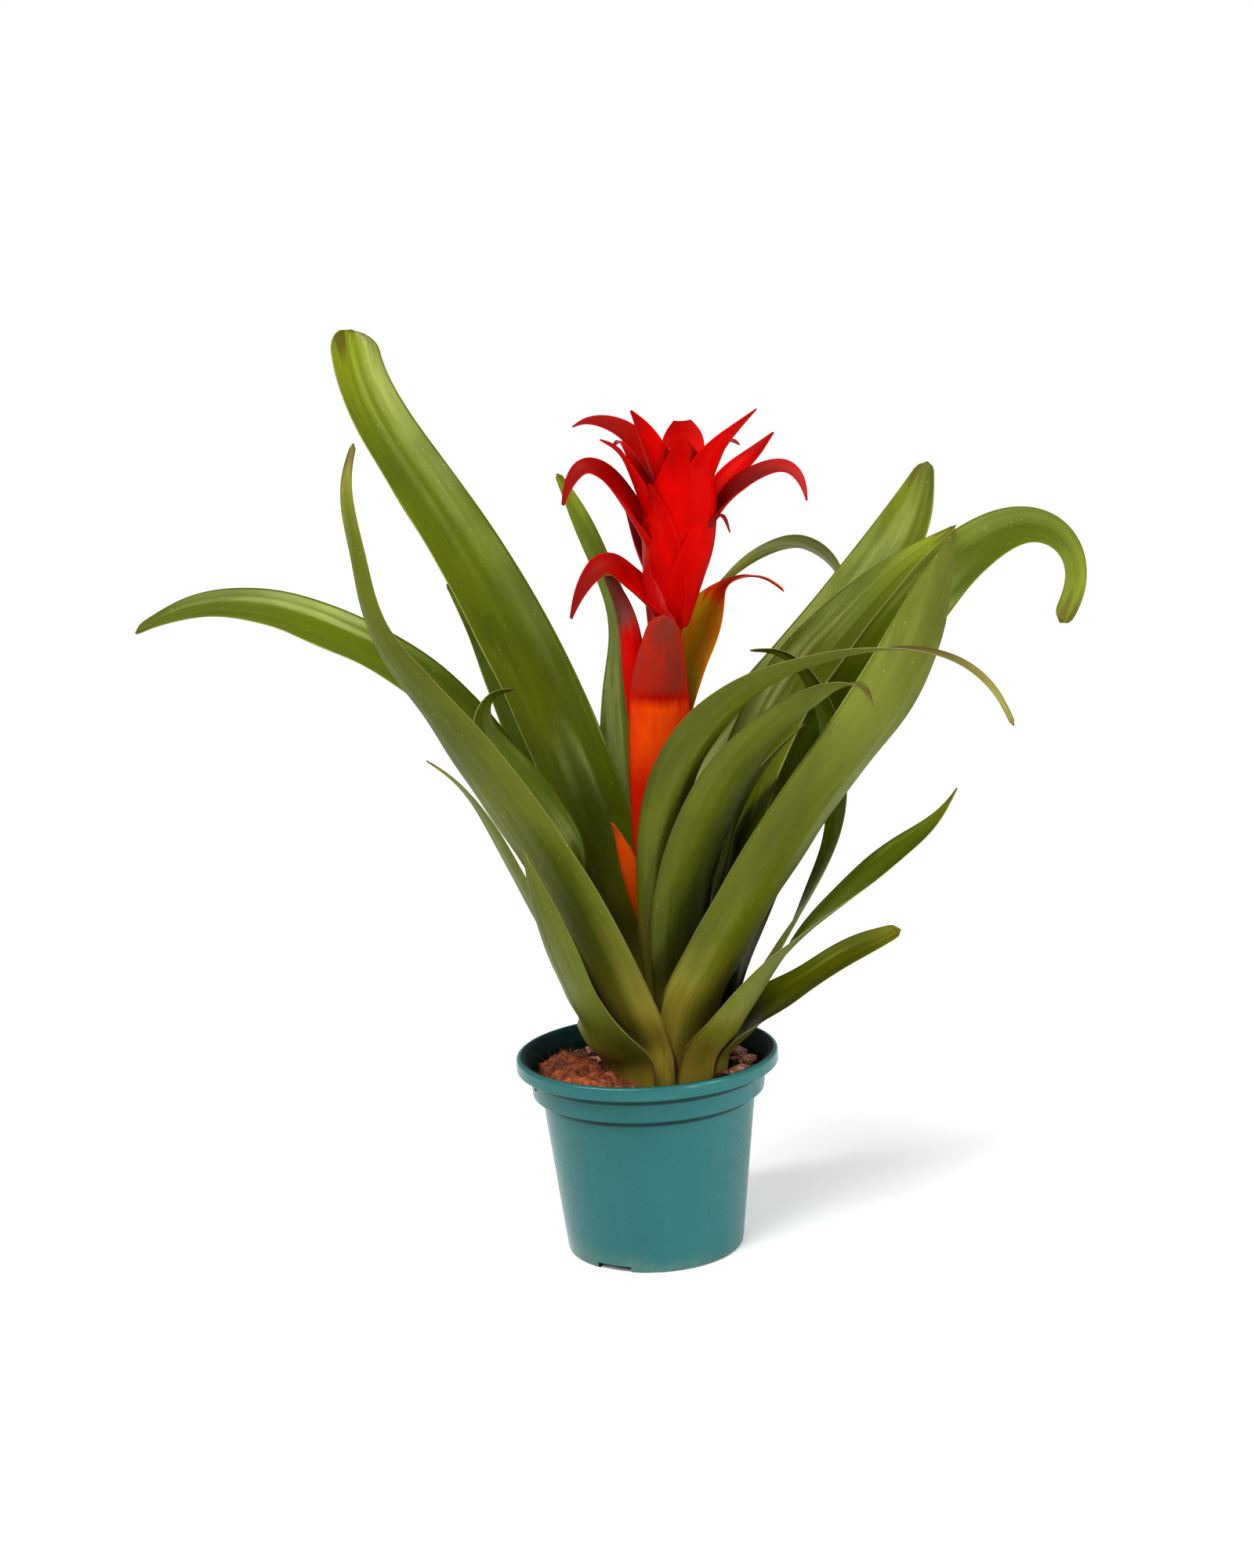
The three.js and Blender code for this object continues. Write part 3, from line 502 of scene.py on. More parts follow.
# %% [markdown]
# The tones are few, because one plant's leaves are much alike. The table sorts the leaves by what
# the photograph shows: fresh green above, deeper green below, and grey or brown olive on the old
# front leaves.

# %% Leaves
TONES = {
    "fresh": dict(sheath=srgb(138, 122, 42), main=srgb(92, 102, 4), deep=srgb(64, 75, 2),
                  light=srgb(114, 122, 16), tip=srgb(88, 80, 18), edge=srgb(112, 116, 40)),
    "green": dict(sheath=srgb(130, 116, 40), main=srgb(78, 90, 3), deep=srgb(53, 64, 2),
                  light=srgb(108, 118, 18), tip=srgb(84, 74, 18), edge=srgb(100, 104, 34)),
    "olive": dict(sheath=srgb(134, 110, 48), main=srgb(92, 84, 24), deep=srgb(58, 58, 8),
                  light=srgb(114, 110, 38), tip=srgb(98, 76, 32), edge=srgb(110, 102, 44)),
    "grey": dict(sheath=srgb(128, 106, 48), main=srgb(96, 86, 36), deep=srgb(66, 58, 18),
                 light=srgb(122, 116, 60), tip=srgb(92, 64, 32), edge=srgb(112, 102, 54)),
    "yellow": dict(sheath=srgb(116, 106, 30), main=srgb(108, 112, 6), deep=srgb(70, 76, 4),
                   light=srgb(132, 130, 28), tip=srgb(122, 104, 28), edge=srgb(124, 120, 42)),
}
UNDERSIDE = dict(sheath=srgb(146, 128, 50), main=srgb(90, 97, 12), deep=srgb(66, 72, 6),
                 light=srgb(116, 118, 44), tip=srgb(94, 76, 28), edge=srgb(104, 102, 42))
# The light shines through the arched leaf, so it is bright below too
UNDERSIDES = {"leaf_back_arch": TONES["yellow"]}
# Each leaf: its tone, how much painted shade darkens its right half, and passes of easing
LEAVES = {
    "leaf_upper_left": ("fresh", 0.35, 3),
    "leaf_upper_right": ("fresh", 0.1, 1),
    "leaf_front_whip": ("grey", 0.0, 1),
    "leaf_front_olive": ("olive", 0.15, 1),
    "leaf_behind_flower": ("green", 0.2, 1),
    "leaf_folded_right": ("olive", 0.2, 1),
    "leaf_back_arch": ("yellow", 0.0, 1),
    "leaf_middle_right": ("fresh", -0.2, 1),
    "leaf_curled_left": ("green", 0.2, 1),
    "leaf_broad_right": ("green", 0.25, 1),
    "leaf_back_left": ("green", 0.0, 1),
    "leaf_front_left": ("green", -0.3, 1),
    "leaf_far_right": ("fresh", 0.1, 1),
    "leaf_inner_left": ("green", 0.0, 1),
    "leaf_hook_right": ("green", 0.3, 1),
    "leaf_low_right": ("fresh", 0.2, 1),
    "leaf_far_left": ("fresh", 0.2, 1),
    "leaf_low_left": ("green", 0.1, 1),
    "leaf_lowest_right": ("yellow", 0.1, 1),
}
LEAF_STEP = 2.4
LEAF_COLUMNS = 24
LEAF_THICKNESS = 0.75
LEAF_TIP_REACH = 0.6
LEAF_RELIEF = dict(ribs=3.1, rib_height=0.15, wave_height=0.35)
SHEATH_ROWS = 5


def margin_finish():
    finish, tree, surface = new_finish("leaf_margin", Roughness=0.5)
    size = blade_maps(tree)[0]
    grain = cloud(tree, stretched(tree, size, (3, 1.4, 1)))
    colour = mixed(tree, grain, srgb(150, 142, 86), srgb(96, 92, 48))
    painted(tree, surface, colour)
    return finish


def round_tip(sheet, along, widths, reach):
    """Draw the last points of a sheet in to a round end. reach is how far that goes, in tip widths"""
    length = max(reach * widths[-1], 1.2 * MM)
    left = np.clip((along[-1] - along) / length, 0, 1)
    share = np.sqrt(np.maximum(1 - (1 - left) ** 2, 0.004))[:, None, None]
    centre = sheet[:, sheet.shape[1] // 2][:, None, :]
    return centre + (sheet - centre) * share, widths * share[:, 0, 0]


def add_leaf(node, tone, painted_shade_side, passes, seed, margin):
    rows = eased(rows_of(node), SHEATH_ROWS, passes)
    sheet, normals, along, widths = fine_sheet(rows, LEAF_STEP, LEAF_COLUMNS)
    sheet, widths = round_tip(sheet, along, widths, LEAF_TIP_REACH)
    share = np.linspace(-1, 1, LEAF_COLUMNS + 1)
    lift = ribs_and_waves(share, along, widths, seed, **LEAF_RELIEF)
    sheet = sheet + lift[:, :, None] * normals
    upper = leaf_finish(node + "_upper", seed, painted_shade_side=painted_shade_side, **TONES[tone])
    under = leaf_finish(node + "_under", seed + 40, gloss=0.42, **UNDERSIDES.get(node, UNDERSIDE))
    leaf = lay_blade(node + "_blade", sheet, along, widths, [upper, under, margin], LEAF_THICKNESS)
    join_plant(leaf, node)
    return leaf


margin = margin_finish()
leaves = [add_leaf(node, *look, seed, margin) for seed, (node, look) in enumerate(LEAVES.items(), 1)]
faces = sum(len(leaf.data.polygons) for leaf in leaves)
print(f"{len(leaves)} leaves, {faces} faces before their thickness")

# %% [markdown]
# A bract is a coloured leaf of the flower stalk. Those that clasp the stalk have solids of their
# own and are read back as the leaves are. The front one is an orange half-tube that ends in a
# brown, papery hood.

# %% Bract finish
def bract_finish(name, seed, stops, vein, edge, gloss=0.4, shade=0.55, ragged_by=0.03):
    finish, tree, surface = new_finish(name, Specular_IOR_Level=0.12, Specular_Tint=(1, 0.3, 0.2, 1))
    size, across, along = blade_maps(tree)
    place = stretched(tree, size, (1, 1, 1), (5.1 * seed, 7.9 * seed, 0))
    broad = cloud(tree, stretched(tree, place, (0.7, 0.4, 1)), detail=3)
    streak = cloud(tree, stretched(tree, place, (5.5, 0.3, 1)), detail=4)
    veins = cloud(tree, stretched(tree, place, (26, 0.4, 1)), detail=2)
    ragged = maths(tree, "ADD", along, fitted(tree, streak, 0.3, 0.7, -ragged_by, ragged_by))
    colour = ramp(tree, ragged, stops)
    side = maths(tree, "ABSOLUTE", across)
    patches_and_side_shade = fitted(tree, broad, 0.35, 0.7, -0.2, 0.7)
    # Painted shade: the bract darkens towards both sides, which leaves a lighter middle as a painted
    # highlight
    patches_and_side_shade = maths(tree, "ADD", patches_and_side_shade, fitted(tree, side, 0.2, 0.95, 0, 0.6))
    colour = mixed(tree, clamped_product(tree, patches_and_side_shade, shade), colour, vein)
    colour = mixed(tree, fitted(tree, veins, 0.35, 0.75, 0, 0.3), colour, vein)
    colour = mixed(tree, fitted(tree, side, 0.88, 1.0, 0, 0.6), colour, edge)
    painted(tree, surface, colour)
    tree.links.new(fitted(tree, broad, 0.3, 0.7, gloss - 0.05, gloss + 0.1), surface.inputs["Roughness"])
    dented(tree, surface, maths(tree, "ADD", veins, streak), 0.0001, 0.6)
    return finish


RED, DEEP_RED = srgb(186, 2, 1), srgb(150, 1, 0)
ORANGE, DEEP_ORANGE, AMBER = srgb(214, 84, 8), srgb(186, 32, 2), srgb(186, 92, 14)
PAPER_BROWN, HOOD_BROWN = srgb(116, 50, 38), srgb(112, 54, 44)
DUSKY, DUSKY_PINK, PLUM = srgb(122, 30, 24), srgb(150, 50, 48), srgb(84, 34, 40)
YELLOW_GREEN, GREY_BROWN = srgb(186, 172, 30), srgb(120, 74, 64)
# Each bract on the stalk: colours from foot to tip, vein colour, passes of easing, raggedness
STALK_BRACTS = {
    "bract_left_small": (
        [(0, AMBER), (0.4, ORANGE), (0.85, ORANGE), (1, PAPER_BROWN)], AMBER, 1, 0.04),
    "bract_left": (
        [(0, ORANGE), (0.2, RED), (0.74, RED), (0.82, GREY_BROWN), (1, GREY_BROWN)], DEEP_RED, 1, 0.04),
    "bract_right": (
        [(0, ORANGE), (0.2, AMBER), (0.3, YELLOW_GREEN), (0.71, YELLOW_GREEN), (0.75, ORANGE),
         (0.79, DEEP_ORANGE), (0.83, DUSKY_PINK), (1, DUSKY_PINK)], ORANGE, 0, 0.04),
    "bract_front": (
        [(0, AMBER), (0.25, DEEP_ORANGE), (0.48, DEEP_ORANGE), (0.62, ORANGE), (0.72, ORANGE),
         (0.755, DEEP_RED), (0.785, PAPER_BROWN), (1, HOOD_BROWN)], DEEP_ORANGE, 1, 0.008),
}
BRACT_STEP = 1.6
BRACT_COLUMNS = 20
BRACT_THICKNESS = 0.7
BRACT_TIP_REACH = 0.45
BRACT_RELIEF = dict(ribs=5, rib_height=0.1, wave_height=0.12)


def add_stalk_bract(node, stops, vein, passes, ragged_by, seed):
    rows = eased(rows_of(node), 2, passes)
    sheet, normals, along, widths = fine_sheet(rows, BRACT_STEP, BRACT_COLUMNS)
    sheet, widths = round_tip(sheet, along, widths, BRACT_TIP_REACH)
    share = np.linspace(-1, 1, BRACT_COLUMNS + 1)
    lift = ribs_and_waves(share, along, widths, seed, **BRACT_RELIEF)
    sheet = sheet + lift[:, :, None] * normals
    finish = bract_finish(node + "_skin", seed, stops, vein, vein, ragged_by=ragged_by)
    bract = lay_blade(node + "_blade", sheet, along, widths, [finish] * 3, BRACT_THICKNESS)
    join_plant(bract, node)


for seed, (node, look) in enumerate(STALK_BRACTS.items(), 60):
    add_stalk_bract(node, *look, seed)
print(f"{len(STALK_BRACTS)} bracts on the stalk")

# %% [markdown]
# The head is a star of red bracts round a short core. They are fused in one solid, so their rows
# can't be read back, and each is laid again from its own route, the same one that the solid was
# made from. Above the foot the bract opens from a tight clasp to a shallow cup, and its width
# follows a profile.

# %% Rows along a route
STALK_LEAN, STALK_FOOT = 0.000251, 112
ROUTE_STATIONS, ROUTE_COLUMNS = 30, 12
PLAIN = [0.6, 0.85, 1, 0.97, 0.8, 0.5, 0.06]
CURL = [1, 1, 0.95, 0.85, 0.65, 0.4, 0.1]
BLUNT = [0.6, 0.8, 0.95, 1, 1, 0.85, 0.4]
APEX = [0.55, 0.75, 0.9, 1, 1, 0.9, 0.6, 0.12]


def stalk_x(height):
    return PLANT_X + STALK_LEAN * (height - STALK_FOOT) ** 2


def rows_on_route(route, facing, width, clasp=1.1, cup=0.5, turn=(0, 0), profile=PLAIN):
    points = np.array(route, float) * MM
    knots = np.concatenate([[0], np.cumsum(np.sqrt(np.linalg.norm(np.diff(points, axis=0), axis=1)))])
    dense = spline(knots, points, np.linspace(0, knots[-1], 200))
    lengths = np.concatenate([[0], np.cumsum(np.linalg.norm(np.diff(dense, axis=0), axis=1))])
    even = np.linspace(0, lengths[-1], ROUTE_STATIONS + 1)
    centres = np.array([np.interp(even, lengths, dense[:, axis]) for axis in range(3)]).T
    tangents = np.gradient(centres, axis=0)
    tangents /= np.linalg.norm(tangents, axis=1, keepdims=True)
    shares = np.linspace(0, 1, ROUTE_STATIONS + 1)
    half = spline(np.linspace(0, 1, len(profile)), np.array(profile)[:, None], shares)[:, 0] * width / 2
    half = np.maximum(half, 0.35) * MM
    angles = clasp + (cup - clasp) * smooth_step(shares, 0.1, 0.9)
    turns = np.radians(np.interp(shares, np.linspace(0, 1, len(turn)), turn))
    across = np.array([-math.sin(math.radians(facing)), math.cos(math.radians(facing)), 0])
    rows = []
    for centre, tangent, reach, angle, twist in zip(centres, tangents, half, angles, turns):
        side = across - tangent * np.dot(across, tangent)
        side /= np.linalg.norm(side)
        up = np.cross(tangent, side)
        turned = side * math.cos(twist) + up * math.sin(twist)
        up = up * math.cos(twist) - side * math.sin(twist)
        arc = np.linspace(angle, -angle, ROUTE_COLUMNS + 1)[:, None]
        rows.append(centre + reach / angle * (np.sin(arc) * turned + (1 - np.cos(arc)) * up))
    return np.array(rows)


print("stalk leans to", round(stalk_x(412), 1), "mm at the top")

# %% [markdown]
# The table gives each bract of the head: where it faces, its width, its route, and how it turns or
# curls.

# %% Head bracts
HEAD_BRACTS = [
    dict(facing=185, width=22, cup=0.6, aged=(0.5, DUSKY), turn=(0, -30, -40, -30), profile=CURL,
         route=[(20, -2, 300), (12, -4, 319), (0, -5, 333), (-8, -5, 339),
                (-17, -4, 332), (-23, -3, 322), (-26, -2, 315)]),
    dict(facing=270, width=38, clasp=1.2, cup=0.8, profile=APEX,
         route=[(22, -5, 308), (25.5, -15, 335), (29, -19, 360),
                (30.5, -21, 378), (30, -21, 391), (29.5, -20, 399)]),
    dict(facing=225, width=22,
         route=[(21, -5, 310), (19, -13, 340), (17, -16, 362), (14, -17, 378)]),
    dict(facing=315, width=24,
         route=[(25, -5, 310), (35, -13, 340), (39, -15, 356), (41, -16, 370)]),
    dict(facing=190, width=21, aged=(0.6, DUSKY), turn=(0, -30, -40, -30), profile=CURL,
         route=[(16, -3, 335), (7, -4, 358), (0, -5, 372), (-8, -5, 383),
                (-16, -5, 386), (-23, -4, 379), (-27, -3, 369)]),
    dict(facing=165, width=17, aged=(0.5, DUSKY), turn=(0, -30, -30),
         route=[(21, 6, 365), (7, 10, 397), (-6, 14, 406), (-15, 16, 407), (-21, 18, 405)]),
    dict(facing=205, width=20, turn=(0, -30),
         route=[(16, -5, 350), (6, -8, 380), (0, -8, 393), (-8, -6, 399)]),
    dict(facing=235, width=17,
         route=[(24, -7, 362), (16, -13, 393), (11, -14, 405), (7, -14, 412)]),
    dict(facing=90, width=22, profile=BLUNT,
         route=[(27, 6, 362), (31, 17, 386), (32, 22, 398), (32, 26, 405)]),
    dict(facing=310, width=24, turn=(0, 20),
         route=[(32, -8, 352), (44, -16, 386), (55, -20, 400), (65, -24, 410)]),
    dict(facing=15, width=17, aged=(0.85, DUSKY), turn=(0, 30, 30),
         route=[(34, 3, 340), (51, 8, 374), (64, 10, 387), (75, 12, 398)]),
    dict(facing=350, width=14, aged=(0.35, DUSKY_PINK), turn=(0, 40, 40),
         route=[(34, -4, 340), (51, -8, 368), (65, -10, 379),
                (78, -10, 382), (85, -10, 376), (88, -10, 366)]),
    dict(facing=335, width=9, aged=(0.35, PLUM),
         route=[(32, -7, 332), (42, -12, 355), (47, -13, 361), (51, -13, 353)]),
    dict(facing=60, width=17, route=[(30, 6, 345), (42, 20, 380), (52, 32, 394), (60, 42, 392)]),
    dict(facing=120, width=17, route=[(22, 8, 345), (12, 22, 380), (4, 34, 396), (-2, 44, 394)]),
    dict(facing=145, width=18, route=[(18, 5, 318), (8, 15, 348), (3, 22, 368), (-4, 30, 375)]),
    dict(facing=40, width=18, route=[(26, 5, 315), (38, 13, 345), (44, 22, 366), (47, 30, 373)]),
    dict(facing=92, width=26, route=[(22, 5, 310), (24, 17, 345), (25, 26, 366), (24, 40, 368)]),
]


HEAD_STEP, HEAD_COLUMNS = 1.3, 16
HEAD_RELIEF = dict(ribs=4, rib_height=0.12, wave_height=0.25)
# The ribs and waves of a leaf start past its sheath, and a bract has none
PAST_SHEATH = 60


def add_head_bract(number, bract):
    rows = rows_on_route(**{key: value for key, value in bract.items() if key != "aged"})
    sheet, normals, along, widths = fine_sheet(rows, HEAD_STEP, HEAD_COLUMNS)
    share = np.linspace(-1, 1, HEAD_COLUMNS + 1)
    seed = 80 + number
    lift = ribs_and_waves(share, along + PAST_SHEATH * MM, widths, seed, **HEAD_RELIEF)
    sheet = sheet + lift[:, :, None] * normals
    start, colour = bract.get("aged", (0.9, DEEP_RED))
    aged = min(start + 0.15, 0.99)
    stops = [(0, RED), (start - 0.15, RED), (start, DEEP_RED), (aged, colour), (1, colour)]
    name = f"head_bract_{number:02d}"
    finish = bract_finish(name + "_skin", seed, stops, DEEP_RED, RED)
    piece = lay_blade(name, sheet, along, widths, [finish] * 3, BRACT_THICKNESS)
    join_plant(piece, "flower_head")


for number, bract in enumerate(HEAD_BRACTS, 1):
    add_head_bract(number, bract)
print(f"{len(HEAD_BRACTS)} bracts on the head")

# %% [markdown]
# The core under the bracts and the stalk are plain turned shapes, so a spin makes each: a line of
# points is turned once round, merged where it closes, and leaned along the stalk's gentle curve.

# %% Turned shapes
TURN_STEPS = 48


def spun(profile, steps=TURN_STEPS, centre=(0, 0)):
    """A closed turned shape from a profile of (radius, height) that starts and ends on the axis"""
    bm = bmesh.new()
    line = [bm.verts.new((radius * MM, 0, height * MM)) for radius, height in profile]
    edges = [bm.edges.new(pair) for pair in zip(line, line[1:])]
    bmesh.ops.spin(bm, geom=line + edges, cent=(0, 0, 0), axis=(0, 0, 1), angle=2 * math.pi, steps=steps,
                   use_merge=True)
    bmesh.ops.remove_doubles(bm, verts=bm.verts, dist=MERGE_WITHIN)
    bmesh.ops.recalc_face_normals(bm, faces=bm.faces)
    bmesh.ops.translate(bm, verts=bm.verts, vec=Vector((*centre, 0)) * MM)
    return bm


def leaned(bm):
    for v in bm.verts:
        v.co.x += stalk_x(v.co.z / MM) * MM
    return bm


def stem_finish(name, light, dark):
    finish, tree, surface = new_finish(name, Roughness=0.45)
    place = object_place(tree)
    fibres = cloud(tree, stretched(tree, place, (900, 900, 25)), detail=4)
    colour = mixed(tree, fitted(tree, fibres, 0.35, 0.7), light, dark)
    painted(tree, surface, colour)
    dented(tree, surface, fibres, 0.0002, 0.6)
    return finish


def add_turned(name, profile, node, finish):
    join_plant(new_piece(name, leaned(spun(profile)), [finish]), node)


HEAD_BOTTOM, HEAD_CUP, STALK_RADIUS = 296, 374, 4.6
core = [(0, HEAD_BOTTOM), (STALK_RADIUS, HEAD_BOTTOM), (7.5, 304), (9.5, 316), (12, 332), (14, 352),
        (14.5, HEAD_CUP - 3), (12.5, HEAD_CUP), (0, HEAD_CUP)]
add_turned("head_core", core, "flower_head", stem_finish("core_red", RED, DEEP_RED))
sides = [(STALK_RADIUS, height) for height in range(STALK_FOOT + 1, HEAD_BOTTOM, 6)]
stalk = [(0, STALK_FOOT + 0.3)] + sides + [(0, HEAD_BOTTOM - 0.6)]
green_stem = stem_finish("stalk_green", srgb(150, 158, 84), srgb(112, 120, 56))
add_turned("stalk_stem", stalk, "flower_stalk", green_stem)
print("stalk and core turned")

# %% [markdown]
# The florets open in the cup of the head: slim tubes that are white below and orange-red at the
# mouth.

# %% Florets
FLORETS = [(2.6, -1.5, 22), (-2, -2.4, 17), (0.6, 2.6, 19), (3.4, 2, 14)]


def floret_finish():
    finish, tree, surface = new_finish("floret_skin", Roughness=0.4, Subsurface_Weight=0.15,
                                       Subsurface_Scale=0.002)
    place = object_place(tree)
    height = add(tree, "SeparateXYZ", {0: place}).outputs["Z"]
    fibres = cloud(tree, stretched(tree, place, (1500, 1500, 60)))
    rise = fitted(tree, height, 0.378, 0.396)
    level = maths(tree, "ADD", rise, fitted(tree, fibres, 0.3, 0.7, -0.1, 0.1))
    white, peach, orange_red = srgb(240, 226, 200), srgb(240, 170, 120), srgb(222, 70, 30)
    colour = ramp(tree, level, [(0.1, white), (0.55, peach), (0.9, orange_red)])
    painted(tree, surface, colour)
    dented(tree, surface, fibres, 0.0001, 0.5)
    return finish


def add_florets():
    floor = HEAD_CUP + 0.3
    whole = spun([(0, floor), (5, floor), (5, floor + 1.6), (0, floor + 1.6)], 32, (stalk_x(floor), 0))
    for x, y, tall in FLORETS:
        top = floor + tall
        wall = [(0, floor + 1), (1.3, floor + 1), (1.1, top - 6), (1.5, top - 3), (2.2, top), (1.7, top - 1),
                (0.7, top - 4), (0, top - 5)]
        tube = spun(wall, 18, (stalk_x(floor) + x, y))
        mesh = bpy.data.meshes.new("floret_tube")
        tube.to_mesh(mesh)
        tube.free()
        whole.from_mesh(mesh)
        bpy.data.meshes.remove(mesh)
    join_plant(new_piece("floret_group", whole, [floret_finish()]), "florets")


add_florets()
print(f"{len(FLORETS)} florets")

# %% [markdown]
# The pot is thin moulded plastic: a tapered wall, a stepped band, a thick rounded lip and water
# slots in the foot. One spin gives the body, and a Boolean cuts the slots. Its finish paints thin
# dark lines of shade under the lip and the band, where their overhang shades the wall, and faces
# that look to the axis get a darker inside finish, painted shade for the inner wall.

# %% Pot
POT_HEIGHT, LIP_RADIUS, LIP_BOTTOM = 99.5, 65, 93
BAND_RADIUS, BAND_BOTTOM, WALL_TOP_RADIUS, BASE_RADIUS, WALL = 57.8, 80.3, 53, 43.8, 1.4
FLOOR_THICKNESS = 2
SLOT_ANGLES = (1, 121, 241)
# Heights of the painted shade lines under the lip and the band, and the colour of that shade
PAINTED_SHADE_LINES = (90.1, 77.8)
PAINTED_SHADE_COLOUR, DUST_COLOUR = srgb(6, 30, 32), srgb(120, 128, 116)


def rounded(corners, radii, pieces=5):
    """Round every inner corner of a profile with a short arc"""
    points = [corners[0]]
    for before, here, after, radius in zip(corners, corners[1:], corners[2:], radii):
        a, b, c = Vector(before), Vector(here), Vector(after)
        cut = min(radius, 0.45 * (a - b).length, 0.45 * (c - b).length)
        start, end = b + (a - b).normalized() * cut, b + (c - b).normalized() * cut
        for k in range(pieces + 1):
            t = k / pieces
            points.append(tuple((1 - t) ** 2 * start + 2 * t * (1 - t) * b + t * t * end))
    return points + [corners[-1]]


def pot_finish():
    finish, tree, surface = new_finish("teal_plastic", Specular_IOR_Level=0.45, Specular_Tint=(0.6, 1, 1, 1))
    place = object_place(tree)
    mottle = cloud(tree, place, 35, detail=5)
    drawn = cloud(tree, stretched(tree, place, (160, 160, 9)), detail=3)
    dust = cloud(tree, place, 420, detail=5, roughness=0.7)
    colour = mixed(tree, fitted(tree, mottle, 0.3, 0.7), srgb(41, 95, 94), srgb(44, 98, 97))
    colour = mixed(tree, fitted(tree, drawn, 0.45, 0.75, 0, 0.3), colour, srgb(50, 104, 102))
    height = add(tree, "SeparateXYZ", {0: place}).outputs["Z"]
    splash = maths(tree, "ADD", height, fitted(tree, mottle, 0.3, 0.7, 0, 0.01))
    low = fitted(tree, splash, 0.016, 0.004, 0, 0.5)
    colour = mixed(tree, maths(tree, "MULTIPLY", low, dust), colour, DUST_COLOUR)
    # Painted shade: a thin dark line just under the lip and under the band, where the overhang shades the
    # wall
    for line in PAINTED_SHADE_LINES:
        off = maths(tree, "ABSOLUTE", maths(tree, "SUBTRACT", height, line * MM))
        colour = mixed(tree, fitted(tree, off, 0.0012, 0.0007, 0, 0.95), colour, PAINTED_SHADE_COLOUR)
    painted(tree, surface, colour)
    rough = fitted(tree, mottle, 0.3, 0.7, 0.25, 0.29)
    rough = maths(tree, "ADD", rough, fitted(tree, dust, 0.5, 0.8, 0, 0.06))
    tree.links.new(rough, surface.inputs["Roughness"])
    dented(tree, surface, maths(tree, "ADD", maths(tree, "MULTIPLY", dust, 0.1), drawn), 0.0001, 0.3)
    return finish


# The darker teal inside is painted shade, for the inner wall that lies in the pot's shadow
def painted_shade_inside_finish():
    finish, tree, surface = new_finish("teal_inside_painted_shade", Specular_IOR_Level=0.2, Roughness=0.6)
    mottle = cloud(tree, object_place(tree), 60, detail=4)
    colour = mixed(tree, fitted(tree, mottle, 0.3, 0.7), srgb(10, 40, 40), srgb(18, 56, 55))
    painted(tree, surface, colour)
    dented(tree, surface, mottle, 0.0002, 0.4)
    return finish


def cut_slots(piece):
    bm = bmesh.new()
    for degrees in SLOT_ANGLES:
        box = bmesh.ops.create_cube(bm, size=1)["verts"]
        bmesh.ops.scale(bm, verts=box, vec=Vector((10, 18, 6)) * MM)
        bmesh.ops.translate(bm, verts=box, vec=Vector((BASE_RADIUS, 0, 0)) * MM)
        turn = Quaternion((0, 0, 1), math.radians(degrees)).to_matrix()
        bmesh.ops.rotate(bm, verts=box, cent=(0, 0, 0), matrix=turn)
    cutter = new_piece("slot_cutter", bm, [])
    cut = piece.modifiers.new("slots", "BOOLEAN")
    cut.object = cutter
    cut.solver = "EXACT"
    graph = bpy.context.evaluated_depsgraph_get()
    mesh = bpy.data.meshes.new_from_object(piece.evaluated_get(graph))
    piece.modifiers.clear()
    piece.data = mesh
    mesh.set_sharp_from_angle(angle=math.radians(35))
    bpy.data.objects.remove(cutter)


def add_pot():
    corners = [
        (0, 0), (BASE_RADIUS, 0), (WALL_TOP_RADIUS, BAND_BOTTOM - 0.6), (BAND_RADIUS - 0.3, BAND_BOTTOM),
        (BAND_RADIUS + 0.8, LIP_BOTTOM - 0.2), (LIP_RADIUS - 0.2, LIP_BOTTOM), (LIP_RADIUS - 0.2, POT_HEIGHT),
        (LIP_RADIUS - 4, POT_HEIGHT), (BAND_RADIUS + 0.8 - WALL, LIP_BOTTOM - 1.5),
        (BAND_RADIUS - WALL, BAND_BOTTOM + 1.6), (WALL_TOP_RADIUS - WALL, BAND_BOTTOM - 1.6),
        (BASE_RADIUS - WALL - 0.6, FLOOR_THICKNESS), (0, FLOOR_THICKNESS),
    ]
    radii = (1.5, 0.8, 0.4, 0.3, 0.6, 3.2, 2, 1.5, 1, 1, 2)
    piece = new_piece("pot_shell", spun(rounded(corners, radii), 180), [pot_finish(), painted_shade_inside_finish()])
    cut_slots(piece)
    # Faces that look to the axis get the painted shade inside finish
    for face in piece.data.polygons:
        away = face.center.x * face.normal.x + face.center.y * face.normal.y
        face.material_index = int(away < 0 and face.center.z > FLOOR_THICKNESS * MM / 2)
    join_plant(piece, "pot")


add_pot()
print("pot turned and slotted")

# %% [markdown]
# The soil is damp peat with crumbs on it. Its body is spun like the pot, but the hole for the crown
# isn't in the pot's middle, so the points near the hole are shifted to the plant's own axis.
# Fractal noise lifts the top.

# %% Soil
SOIL_TOP = 88
SOIL_OUT = BAND_RADIUS - WALL - 0.5
CROWN_HOLE = 33.4


def soil_height(x, y):
    lumps = 0.9 * math.sin(0.31 * x + 0.2 * y) + 0.7 * math.sin(0.23 * x - 0.37 * y + 1.3)
    bank = 3.2 * math.exp(-((x - 46) ** 2 + (y + 12) ** 2) / 420)
    return SOIL_TOP + lumps + bank


def soil_finish(name, dark, light, grain):
    finish, tree, surface = new_finish(name, Roughness=0.9)
    place = object_place(tree)
    crumbs = cloud(tree, place, grain, detail=6, roughness=0.7)
    patches = cloud(tree, place, grain / 6, detail=3)
    colour = mixed(tree, fitted(tree, crumbs, 0.35, 0.68), dark, light)
    colour = mixed(tree, fitted(tree, patches, 0.45, 0.7, 0, 0.5), colour, dark)
    painted(tree, surface, colour)
    dented(tree, surface, crumbs, 0.0008, 0.9)
    return finish


